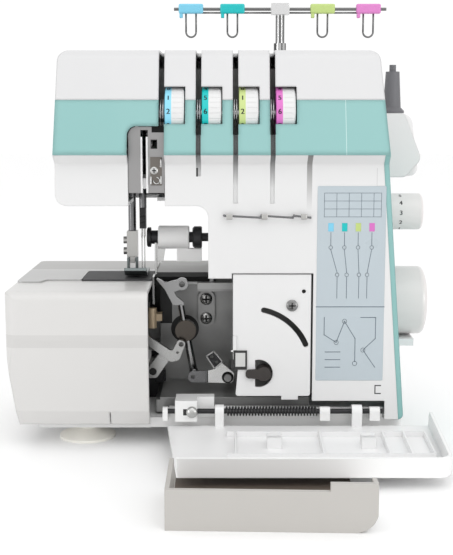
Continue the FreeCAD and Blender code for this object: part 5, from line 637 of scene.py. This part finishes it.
def ink_line(start, end, width, ink=0):
    # A printed line between two points of the foil, given as shares of its width and height
    first = Vector((CHART_LEFT_X + start[0] * chart_width, ink_y, CHART_BOTTOM_Z + start[1] * chart_height))
    last = Vector((CHART_LEFT_X + end[0] * chart_width, ink_y, CHART_BOTTOM_Z + end[1] * chart_height))
    strip(ink_build, first, last, width, INK_PROUD, ink)


def ink_ring(centre, radius):
    # A small printed eye, drawn as a ring of short strokes
    points = []
    for index in range(EYE_STROKES + 1):
        angle = 2 * math.pi * index / EYE_STROKES
        across = centre[0] + radius * math.cos(angle) / chart_width
        up = centre[1] + radius * math.sin(angle) / chart_height
        points.append((across, up))
    for first, second in zip(points, points[1:]):
        ink_line(first, second, FINE_LINE)


TABLE_COLUMNS = [0.10, 0.28, 0.46, 0.64, 0.82, 0.93]
TABLE_ROWS = [0.965, 0.925, 0.885, 0.845]
for column in TABLE_COLUMNS:
    ink_line((column, TABLE_ROWS[-1]), (column, TABLE_ROWS[0]), FINE_LINE)
for row in TABLE_ROWS:
    ink_line((TABLE_COLUMNS[0], row), (TABLE_COLUMNS[-1], row), FINE_LINE)
THREAD_STARTS = [0.20, 0.40, 0.60, 0.80]
THREAD_ENDS = [0.30, 0.44, 0.62, 0.74]
KEY_TOP = 0.80
KEY_FOOT = 0.785
THREAD_TOP = 0.765
UPPER_EYE = 0.69
LOWER_EYE = 0.55
EYE_GAP = 0.01
THREAD_FOOT = 0.43
for lane, (column, finish) in enumerate(zip(THREAD_STARTS, THREAD_ENDS)):
    ink_line((column, KEY_TOP), (column, KEY_FOOT), KEY_LINE, lane + 1)
    ink_line((column, THREAD_TOP), (column, UPPER_EYE + EYE_GAP), THREAD_LINE)
    ink_ring((column, UPPER_EYE), THREAD_EYE)
    ink_line((column, UPPER_EYE - EYE_GAP), (finish, LOWER_EYE + EYE_GAP), THREAD_LINE)
    ink_ring((finish, LOWER_EYE), THREAD_EYE)
    ink_line((finish, LOWER_EYE - EYE_GAP), (finish, THREAD_FOOT), THREAD_LINE)
DIVIDER_LEVEL = 0.385
ink_line((0.0, DIVIDER_LEVEL), (1.0, DIVIDER_LEVEL), DIVIDER_LINE)
DIAGRAM_PATHS = [[(0.12, 0.33), (0.12, 0.24), (0.30, 0.20), (0.42, 0.31), (0.58, 0.22), (0.58, 0.10)],
                 [(0.66, 0.33), (0.88, 0.33), (0.88, 0.22), (0.70, 0.16), (0.88, 0.07)],
                 [(0.14, 0.15), (0.36, 0.15)], [(0.14, 0.11), (0.36, 0.11)], [(0.14, 0.07), (0.36, 0.07)]]
for path in DIAGRAM_PATHS:
    for first, second in zip(path, path[1:]):
        ink_line(first, second, DIAGRAM_LINE)
DIAGRAM_EYES = [(0.30, 0.20), (0.42, 0.31), (0.70, 0.16), (0.58, 0.09)]
for eye in DIAGRAM_EYES:
    ink_ring(eye, DIAGRAM_EYE)
chart_ink = surface("chart_grey_ink", (0.16, 0.20, 0.24), 0.5, grain=3000.0, depth=0.02)
KEY_COLOURS = [(0.20, 0.58, 0.78), (0.0, 0.50, 0.50), (0.50, 0.62, 0.20), (0.66, 0.16, 0.52)]
key_inks = [surface("chart_key_ink_%d" % (index + 1), colour, 0.5, grain=3000.0, depth=0.02)
            for index, colour in enumerate(KEY_COLOURS)]
build_piece("chart_lines", ink_build, [chart_ink] + key_inks, "machine")

# Wire thread guides on the column: bent and plated spring wire, held on the moulding by small pressed
# clamps of nickelled steel, each with a tongue behind the wire.
dress(bar_steel, "thread_guides")
GUIDE_CLAMPS_X = [0.0022, 0.0290, 0.0590]
GUIDE_CLAMP_SIZE = (0.0048, 0.0020, 0.0042)
GUIDE_CLAMP_ROUND = 0.0006
GUIDE_CLAMP_PROUD = 0.0004
CLAMP_TONGUE_SIZE = (0.0030, 0.0040, 0.0026)
CLAMP_TONGUE_ROUND = 0.0004
CLAMP_TONGUE_BACK = 0.002
guides_low, guides_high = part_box("thread_guides")
clamp_y = guides_low[1] + GUIDE_CLAMP_SIZE[1] / 2 - GUIDE_CLAMP_PROUD
clamp_z = (guides_low[2] + guides_high[2]) / 2
clamp_build = bmesh.new()
for clamp_x in GUIDE_CLAMPS_X:
    bar(clamp_build, (clamp_x, clamp_y, clamp_z), GUIDE_CLAMP_SIZE, 0, None, GUIDE_CLAMP_ROUND)
    tongue_place = (clamp_x, clamp_y + CLAMP_TONGUE_BACK, clamp_z)
    bar(clamp_build, tongue_place, CLAMP_TONGUE_SIZE, 0, None, CLAMP_TONGUE_ROUND)
build_piece("guide_clamps", clamp_build, [holder_nickel], "machine")

# Upright lip of the pan behind the hinge: a thin white wall with a folded top, moulded with the pan, that
# closes the view of the casting's foot.
LIP_LEFT_X = -0.0460
LIP_RIGHT_X = 0.1235
LIP_FRONT_Y = -0.0036
LIP_LOW_Z = 0.0215
LIP_HIGH_Z = 0.0300
LIP_THICK = 0.0018
LIP_ROUND = 0.0004
FOLD_DEPTH = 0.0050
FOLD_BACK = 0.0002
FOLD_SHORT = 0.001
lip_middle_x = (LIP_LEFT_X + LIP_RIGHT_X) / 2
lip_length = LIP_RIGHT_X - LIP_LEFT_X
lip_build = bmesh.new()
bar(lip_build, (lip_middle_x, LIP_FRONT_Y + LIP_THICK / 2, (LIP_LOW_Z + LIP_HIGH_Z) / 2),
    (lip_length, LIP_THICK, LIP_HIGH_Z - LIP_LOW_Z), 0, None, LIP_ROUND)
bar(lip_build, (lip_middle_x, LIP_FRONT_Y + FOLD_DEPTH / 2 + FOLD_BACK, LIP_HIGH_Z - LIP_THICK / 2),
    (lip_length - FOLD_SHORT, FOLD_DEPTH, LIP_THICK), 0, None, LIP_ROUND)
build_piece("pan_lip", lip_build, [pan_nylon], "machine")

# Hinge of the front cover: a steel rod in three posts, two bushes that slide on it, and a long
# compression spring of dark wire that pushes the cover home.
dress(black_steel, "hinge_rod")
dress(pan_nylon, "cover_bushes")
SPRING_WIRE = 0.00055
SPRING_WIRE_SIDES = 10
SPRING_COIL = 0.0034
SPRING_TURNS = 30
SPRING_STEPS = 18
SPRING_LEFT_X = -0.0004
SPRING_RIGHT_X = 0.0714
HINGE_Y = -0.011
HINGE_Z = 0.029
spring_build = bmesh.new()
spring_start = Matrix.Translation((SPRING_LEFT_X, HINGE_Y + SPRING_COIL, HINGE_Z))
bmesh.ops.create_circle(spring_build, segments=SPRING_WIRE_SIDES, radius=SPRING_WIRE, matrix=spring_start)
spring_steps = SPRING_TURNS * SPRING_STEPS
spring_advance = (SPRING_RIGHT_X - SPRING_LEFT_X) / spring_steps
bmesh.ops.spin(spring_build, geom=list(spring_build.edges), cent=(SPRING_LEFT_X, HINGE_Y, HINGE_Z),
               axis=(1.0, 0.0, 0.0), dvec=(spring_advance, 0.0, 0.0), angle=2 * math.pi * SPRING_TURNS,
               steps=spring_steps, use_duplicate=False)
close_ends(spring_build)
bmesh.ops.recalc_face_normals(spring_build, faces=spring_build.faces)
for face in spring_build.faces:
    face.smooth = True
spring_steel = surface("dark_spring_wire", (0.055, 0.055, 0.056), 0.32, metallic=0.9, grain=2600.0,
                       depth=0.05)
spring_coils = mesh_object("spring_coils", spring_build, [spring_steel])
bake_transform(spring_coils)
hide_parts("cover_spring")

# Front cover: a white moulding with ribs and two tool clips inside, swung down on its hinge. Its outer
# rim carries a painted highlight, and its white is set lighter than the shell's, a painted light that
# makes up for the shade it lies in.
cover_white = surface("cover_white_shell", (0.86, 0.86, 0.86), 0.38, mottle=0.008, coat=0.1, softness=0.001)
RIM_DEPTH = 0.003
RIM_HIGHLIGHT = (0.98, 0.98, 0.975)
ALL_ROUND = (-1.0, 1.0)
ALL_UP = (0.0, 1.0)
rim_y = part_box("front_cover")[0][1]
patch(cover_white, RIM_HIGHLIGHT, ALL_ROUND, (rim_y - RIM_DEPTH, rim_y + RIM_DEPTH), ALL_UP)
dress(cover_white, "front_cover")

# Waste tray: warm grey moulding that stands in front of the open cover; its floor is painted dark brown
# as painted shade.
tray_grey = surface("tray_warm_grey", (0.505, 0.488, 0.462), 0.45)
TRAY_FLOOR = ((-0.0362, 0.0922), (-0.1835, -0.02), (0.0005, 0.0026))
TRAY_FLOOR_SHADE = (0.13, 0.105, 0.085)
patch(tray_grey, TRAY_FLOOR_SHADE, *TRAY_FLOOR)
dress(tray_grey, "waste_tray")

# Extension table and bed. The table is a white moulding that slides off to the left; its top and the fixed
# bed are satin steel sheet, the needle plate is darker ground steel.
table_white = surface("table_warm_white", (0.665, 0.657, 0.645), 0.38, mottle=0.012, coat=0.1,
                      softness=SHELL_SOFTNESS)
# A band across the table's front is painted darker, painted shade of a soft crease.
TABLE_CREASE = ((-0.2, 0.0), (-0.1, 0.0), (0.0825, 0.0925))
TABLE_CREASE_SHADE = (0.605, 0.597, 0.585)
patch(table_white, TABLE_CREASE_SHADE, *TABLE_CREASE)
dress(table_white, "extension_table")
sheet_steel = surface("satin_sheet_steel", (0.43, 0.425, 0.415), 0.36, metallic=0.55, grain=1900.0,
                      depth=0.05, mottle=0.04)
SHEET_ACROSS = (-0.2, -0.0605)
SHEET_EDGE_Y = 0.0857
SHEET_FIELD_DEPTH = (-0.1, SHEET_EDGE_Y)
SHEET_FIELD_HEIGHT = (0.1, 0.14)
SHEET_FIELD_COLOUR = (0.50, 0.50, 0.495)
SHEET_EDGE_DEPTH = (SHEET_EDGE_Y, 0.0870)
SHEET_EDGE_HEIGHT = (0.12, 0.14)
SHEET_EDGE_COLOUR = (0.80, 0.80, 0.80)
patch(sheet_steel, SHEET_FIELD_COLOUR, SHEET_ACROSS, SHEET_FIELD_DEPTH, SHEET_FIELD_HEIGHT)
patch(sheet_steel, SHEET_EDGE_COLOUR, SHEET_ACROSS, SHEET_EDGE_DEPTH, SHEET_EDGE_HEIGHT)
dress(sheet_steel, "cloth_plate")
bed_steel = surface("bed_matt_steel", (0.60, 0.60, 0.59), 0.7, grain=1900.0, depth=0.05, mottle=0.04,
                    sheen=0.1)
# A dark strip of painted shade on the bed's front stands for the gap under the arm.
BED_GAP = ((-0.0595, -0.0135), (0.0, 0.0720), (0.1, 0.14))
BED_GAP_SHADE = (0.01, 0.01, 0.01)
patch(bed_steel, BED_GAP_SHADE, *BED_GAP)
dress(bed_steel, "bed_plate")
needle_plate_steel = surface("needle_plate_steel", (0.072, 0.073, 0.076), 0.6, grain=1900.0, depth=0.05,
                             mottle=0.06, sheen=0.25)
dress(needle_plate_steel, "needle_plate")

# Tension dials: white moulded wheels on one shaft, each with a coloured ring of numbers on its
# left, printed in black. The wheel's right part is ribbed for the thumb.
FIGURE_THICK = 0.00003
FIGURE_PROUD = 0.00004
FIGURE_BOLD = 0.03
FIGURE_CUTS = 4
FIGURE_STRIPS = 10


def numeral(build, text, size, lay):
    # A plain printed figure, laid on a round surface by lay(across, up, proud); it is cut into strips so
    # that it bends, and laid thrice side by side so that it is bold
    curve = bpy.data.curves.new("figure", "FONT")
    curve.body = text
    curve.size = size
    curve.align_x = "CENTER"
    curve.align_y = "CENTER"
    curve.extrude = FIGURE_THICK
    holder = bpy.data.objects.new("figure", curve)
    for shift in (-FIGURE_BOLD * size, 0.0, FIGURE_BOLD * size):
        mesh = bpy.data.meshes.new_from_object(holder)
        glyph = bmesh.new()
        glyph.from_mesh(mesh)
        for level in range(-FIGURE_CUTS, FIGURE_CUTS + 1):
            everything = glyph.verts[:] + glyph.edges[:] + glyph.faces[:]
            bmesh.ops.bisect_plane(glyph, geom=everything, plane_co=(0.0, level * size / FIGURE_STRIPS, 0.0),
                                   plane_no=(0.0, 1.0, 0.0))
        for vert in glyph.verts:
            vert.co = lay(vert.co.x + shift, vert.co.y, vert.co.z)
        glyph.to_mesh(mesh)
        glyph.free()
        build.from_mesh(mesh)
        bpy.data.meshes.remove(mesh)
    bpy.data.objects.remove(holder)
    bpy.data.curves.remove(curve)


def drum_lay(middle_x, axle_y, axle_z, radius, middle_angle):
    # Says where a point of a flat figure lies on a drum that turns about an axle along X
    def lay(across, up, proud):
        angle = middle_angle + up / radius
        reach = radius + FIGURE_PROUD + proud
        return Vector((middle_x + across, axle_y - reach * math.cos(angle), axle_z + reach * math.sin(angle)))

    return lay


DIAL_RADIUS = 0.020
DIAL_RING = 0.0050
DIAL_RING_START = 0.001
NUMBER_STEP = math.radians(31.5)
NUMBER_MIDDLE = math.radians(19.5)
NUMBER_SIZE = 0.0056
NUMBER_SHIFT = 0.0002
NUMBER_COUNT = 10
number_ink = surface("number_ink", (0.012, 0.016, 0.02), 0.5, grain=3000.0, depth=0.02)
DIAL_RINGS = {
    "left_needle_dial": ("dial_left_needle", (0.26, 0.66, 0.84), 1),
    "right_needle_dial": ("dial_right_needle", (0.0, 0.52, 0.51), 5),
    "upper_looper_dial": ("dial_upper_looper", (0.55, 0.66, 0.25), 1),
    "lower_looper_dial": ("dial_lower_looper", (0.69, 0.17, 0.54), 5)}
for dial_name, (dial_body, ring_colour, first_number) in DIAL_RINGS.items():
    low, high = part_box(dial_name)
    dial_plastic = surface(dial_name + "_plastic", (0.74, 0.74, 0.74), 0.4, mottle=0.01)
    patch(dial_plastic, ring_colour, (low[0] - DIAL_RING_START, low[0] + DIAL_RING), ALL_ROUND, ALL_UP)
    dress(dial_plastic, dial_name)
    axle_y = (low[1] + high[1]) / 2
    axle_z = (low[2] + high[2]) / 2
    ring_x = low[0] + DIAL_RING / 2 + NUMBER_SHIFT
    figures = bmesh.new()
    for number in range(NUMBER_COUNT):
        number_angle = NUMBER_MIDDLE + NUMBER_STEP * (0.5 - (number - first_number))
        on_ring = drum_lay(ring_x, axle_y, axle_z, DIAL_RADIUS, number_angle)
        numeral(figures, str(number), NUMBER_SIZE, on_ring)
    build_piece(dial_name + "_figures", figures, [number_ink], dial_body)

# Handwheel and stitch length dial on the right side: white mouldings on their shafts, the dial with
# printed numbers round its rim.
wheel_white = surface("wheel_white_shell", (0.745, 0.715, 0.705), 0.34, mottle=0.012, coat=0.12)
dress(wheel_white, "handwheel", "stitch_length_dial")
LENGTH_RADIUS = 0.0147
LENGTH_STEP = math.radians(32.0)
LENGTH_NUMBER_SIZE = 0.0050
LENGTH_NUMBER_X = 0.1400
LENGTH_NUMBER_COUNT = 6
LENGTH_FRONT_NUMBER = 3
low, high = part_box("stitch_length_dial")
length_y = (low[1] + high[1]) / 2
length_z = (low[2] + high[2]) / 2
length_figures = bmesh.new()
for number in range(LENGTH_NUMBER_COUNT):
    number_angle = LENGTH_STEP * (number - LENGTH_FRONT_NUMBER)
    on_rim = drum_lay(LENGTH_NUMBER_X, length_y, length_z, LENGTH_RADIUS, number_angle)
    numeral(length_figures, str(number), LENGTH_NUMBER_SIZE, on_rim)
build_piece("length_dial_figures", length_figures, [number_ink], "length_dial")

# Mains inlet under a short hood, moulded in pale nylon and let into the right side, with a black rocker
# switch beside the socket.
inlet_nylon = surface("inlet_pale_nylon", (0.80, 0.80, 0.80), 0.45)
dress(inlet_nylon, "power_inlet")
switch_black = surface("switch_black", (0.03, 0.03, 0.032), 0.4)
dress(switch_black, "power_switch")

# Thread stand behind the head: a white moulding with four grey spool holders on pins, and a telescopic
# steel mast; the dark stripes on its round sides and the pale stripes on the guide wire are painted
# reflections.
stand_white = surface("stand_white_shell", (0.74, 0.74, 0.735), 0.36, mottle=0.012, coat=0.15,
                      softness=SHELL_SOFTNESS)
dress(stand_white, "spool_stand")
holder_grey = surface("holder_grey_plastic", (0.14, 0.14, 0.15), 0.5)
dress(holder_grey, "spool_holders")
MAST_SPAN = (0.0, 1.0)
MAST_HEAD_Z = 0.3465
TUBE_STRIPES = [(0.0425, 0.0445), (0.0490, 0.0505), (0.0522, 0.0535)]
TUBE_STRIPE_REFLECTION = (0.07, 0.07, 0.07)
mast_chrome = surface("mast_chrome", (0.50, 0.50, 0.50), 0.18, metallic=0.9, grain=2600.0, depth=0.03)
for stripe in TUBE_STRIPES:
    patch(mast_chrome, TUBE_STRIPE_REFLECTION, stripe, MAST_SPAN, MAST_SPAN)
dress(mast_chrome, "mast_tube")
MAST_HEAD = (0.0395, 0.0565)
MAST_HEAD_COLOUR = (0.68, 0.68, 0.68)
MAST_STRIPES = [(0.0452, 0.0468), (0.0488, 0.0500)]
MAST_STRIPE_HIGHLIGHT = (0.60, 0.60, 0.60)
mast_wire = surface("mast_dark_wire", (0.16, 0.16, 0.16), 0.22, metallic=0.35, grain=2600.0, depth=0.03)
patch(mast_wire, MAST_HEAD_COLOUR, MAST_HEAD, MAST_SPAN, (MAST_HEAD_Z, MAST_SPAN[1]))
for stripe in MAST_STRIPES:
    patch(mast_wire, MAST_STRIPE_HIGHLIGHT, stripe, MAST_SPAN, (MAST_SPAN[0], MAST_HEAD_Z))
dress(mast_wire, "guide_mast")

# Ends of the thread stand: full rounded caps of the same white moulding, closed over the stand's two ends
# and leaning inwards at the top.
STAND_CAP_LENGTH = 0.0290
STAND_CAP_LEAN = 0.0070
STAND_CAP_ROUND = 0.0080
STAND_CAP_SEGMENTS = 5
STAND_CAP_STEP = 0.0006
RIGHT_CAP_SETBACK = 0.0012
LEFT_CAP_SETBACK = 0.0300
stand_low, stand_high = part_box("spool_stand")
cap_back_y = stand_high[1] - STAND_CAP_STEP
cap_height = stand_high[2] - stand_low[2] - 2 * STAND_CAP_STEP
cap_z = (stand_low[2] + stand_high[2]) / 2
cap_build = bmesh.new()
for side, outer_x, setback in ((1, stand_high[0], RIGHT_CAP_SETBACK), (-1, stand_low[0], LEFT_CAP_SETBACK)):
    cap = bmesh.ops.create_cube(cap_build, size=1.0)["verts"]
    front_y = stand_low[1] + setback
    cap_middle = Vector((outer_x - side * STAND_CAP_LENGTH / 2, (front_y + cap_back_y) / 2, cap_z))
    stretch = Matrix.Diagonal(Vector((STAND_CAP_LENGTH, cap_back_y - front_y, cap_height, 1.0)))
    bmesh.ops.transform(cap_build, matrix=Matrix.Translation(cap_middle) @ stretch, verts=cap)
    top_verts = [vert for vert in cap if vert.co.z > cap_middle.z]
    bmesh.ops.translate(cap_build, verts=top_verts, vec=(-side * STAND_CAP_LEAN, 0.0, 0.0))
    round_edges(cap_build, edges_of(cap), STAND_CAP_ROUND, STAND_CAP_SEGMENTS)
for face in cap_build.faces:
    face.smooth = True
build_piece("stand_caps", cap_build, [stand_white], "machine")

# Thread guides on the mast's bar: four coloured moulded clips with a short tooth, each with a loop of
# plated wire. A second wire braces the bar on each side of the mast.
CLIP_CENTRES = [-0.0318, 0.0053, 0.0860, 0.1270]
CLIP_COLOURS = [(0.20, 0.60, 0.80), (0.0, 0.52, 0.53), (0.52, 0.66, 0.22), (0.70, 0.22, 0.56)]
BAR_Z = 0.352
CLIP_SIZE = (0.0220, 0.0062, 0.0086)
CLIP_LIFT = 0.0003
CLIP_ROUND = 0.0014
TOOTH_SIZE = (0.0030, 0.0050, 0.0050)
TOOTH_SHIFT = 0.0088
TOOTH_DROP = 0.0052
TOOTH_ROUND = 0.0006
LOOP_WIRE = 0.00085
LOOP_HALF = 0.0045
LOOP_TOP_Z = BAR_Z - 0.0035
LOOP_DROP = 0.0165
LOOP_STEPS = 14
WIRE_SIDES = 10
BRACE_Z = BAR_Z - 0.0032
BRACES = [(-0.0318, 0.0400), (0.0560, 0.1270)]
ALONG_X = Matrix.Rotation(math.pi / 2, 4, "Y")
clip_low, clip_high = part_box("guide_clips")
bar_y = (clip_low[1] + clip_high[1]) / 2
clip_build = bmesh.new()
for clip_index, clip_x in enumerate(CLIP_CENTRES):
    bar(clip_build, (clip_x, bar_y, BAR_Z + CLIP_LIFT), CLIP_SIZE, clip_index, None, CLIP_ROUND)
    tooth_place = (clip_x - TOOTH_SHIFT, bar_y, BAR_Z - TOOTH_DROP)
    bar(clip_build, tooth_place, TOOTH_SIZE, clip_index, None, TOOTH_ROUND)
plastic_faces = set(clip_build.faces)
for brace_left, brace_right in BRACES:
    brace_middle = ((brace_left + brace_right) / 2, bar_y, BRACE_Z)
    rod(clip_build, brace_middle, LOOP_WIRE, brace_right - brace_left, WIRE_SIDES, ALONG_X)
for clip_x in CLIP_CENTRES:
    for side in (-1, 1):
        leg_middle = (clip_x + side * LOOP_HALF, bar_y, LOOP_TOP_Z - LOOP_DROP / 2)
        rod(clip_build, leg_middle, LOOP_WIRE, LOOP_DROP, WIRE_SIDES)
    loop_centre = (clip_x, bar_y, LOOP_TOP_Z - LOOP_DROP)
    bent_wire(clip_build, loop_centre, LOOP_HALF, LOOP_WIRE, WIRE_SIDES, math.pi, LOOP_STEPS)
for face in set(clip_build.faces) - plastic_faces:
    face.material_index = len(CLIP_CENTRES)
    face.smooth = True
clip_plastics = [surface("clip_plastic_%d" % (index + 1), colour, 0.4)
                 for index, colour in enumerate(CLIP_COLOURS)]
mast_clips = build_piece("mast_clips", clip_build, clip_plastics + [mast_wire], "mast")
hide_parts("guide_clips")

# Stage: pale floor and soft studio light from above and both sides; two narrow lamps at the sides show
# only as highlights. The camera stands in front, a little higher than the table.
FLOOR_HALF = 6.0
WORLD_STRENGTH = 1.03
LAMP_TARGET = Vector((0.0, 0.0, 0.15))
SOFT_LAMPS = [("key", (-0.9, -1.3, 1.7), 2.5), ("fill", (1.1, -1.2, 1.0), 1.5),
              ("top", (0.25, -1.0, 1.6), 4.0)]
SOFT_LAMP_SIZE = 1.2
STRIP_X = 0.93
STRIP_Y = -0.66
STRIP_Z = 0.27
STRIP_WIDTH = 0.10
STRIP_HEIGHT = 0.50
STRIP_POWER = 2.0
CAMERA_HEIGHT = 0.261
CAMERA_DISTANCE = 0.840
CAMERA_PITCH = 8.64
SENSOR_WIDTH = 36.0
FOCAL_PIXELS = 1089.0
FRAME_HEIGHT_PIXELS = 555.0


def soft_lamp(label, where, width, height, power):
    # A rectangle of light that faces the middle of the machine
    lamp = bpy.data.lights.new(label, "AREA")
    lamp.shape = "RECTANGLE"
    lamp.size = width
    lamp.size_y = height
    lamp.energy = power
    lamp_object = bpy.data.objects.new(label, lamp)
    lamp_object.location = where
    aim = LAMP_TARGET - Vector(where)
    lamp_object.rotation_euler = aim.to_track_quat("-Z", "Y").to_euler()
    bpy.context.scene.collection.objects.link(lamp_object)
    return lamp_object


floor_build = bmesh.new()
bmesh.ops.create_grid(floor_build, x_segments=1, y_segments=1, size=FLOOR_HALF)
floor_pale = surface("pale_floor", (0.965, 0.965, 0.965), 0.7, mottle=0.003)
floor = mesh_object("floor", floor_build, [floor_pale])
world = bpy.data.worlds.new("studio")
world.use_nodes = True
sky = world.node_tree.nodes["Background"]
sky.inputs["Color"].default_value = (1.0, 1.0, 1.0, 1.0)
sky.inputs["Strength"].default_value = WORLD_STRENGTH
bpy.context.scene.world = world
bpy.context.scene.view_settings.view_transform = "Standard"
for label, where, power in SOFT_LAMPS:
    soft_lamp(label, where, SOFT_LAMP_SIZE, SOFT_LAMP_SIZE, power)
for side in (-1, 1):
    strip_place = (side * STRIP_X, STRIP_Y, STRIP_Z)
    strip_lamp = soft_lamp("strip", strip_place, STRIP_WIDTH, STRIP_HEIGHT, STRIP_POWER)
    strip_lamp.visible_diffuse = False
camera_data = bpy.data.cameras.new("photo_camera")
camera_data.sensor_width = SENSOR_WIDTH
camera_data.lens = SENSOR_WIDTH * FOCAL_PIXELS / FRAME_HEIGHT_PIXELS
camera = bpy.data.objects.new("photo_camera", camera_data)
camera.location = (0.0, -CAMERA_DISTANCE, CAMERA_HEIGHT)
camera.rotation_euler = (math.radians(90.0 - CAMERA_PITCH), 0.0, 0.0)
bpy.context.scene.collection.objects.link(camera)
bpy.context.scene.camera = camera
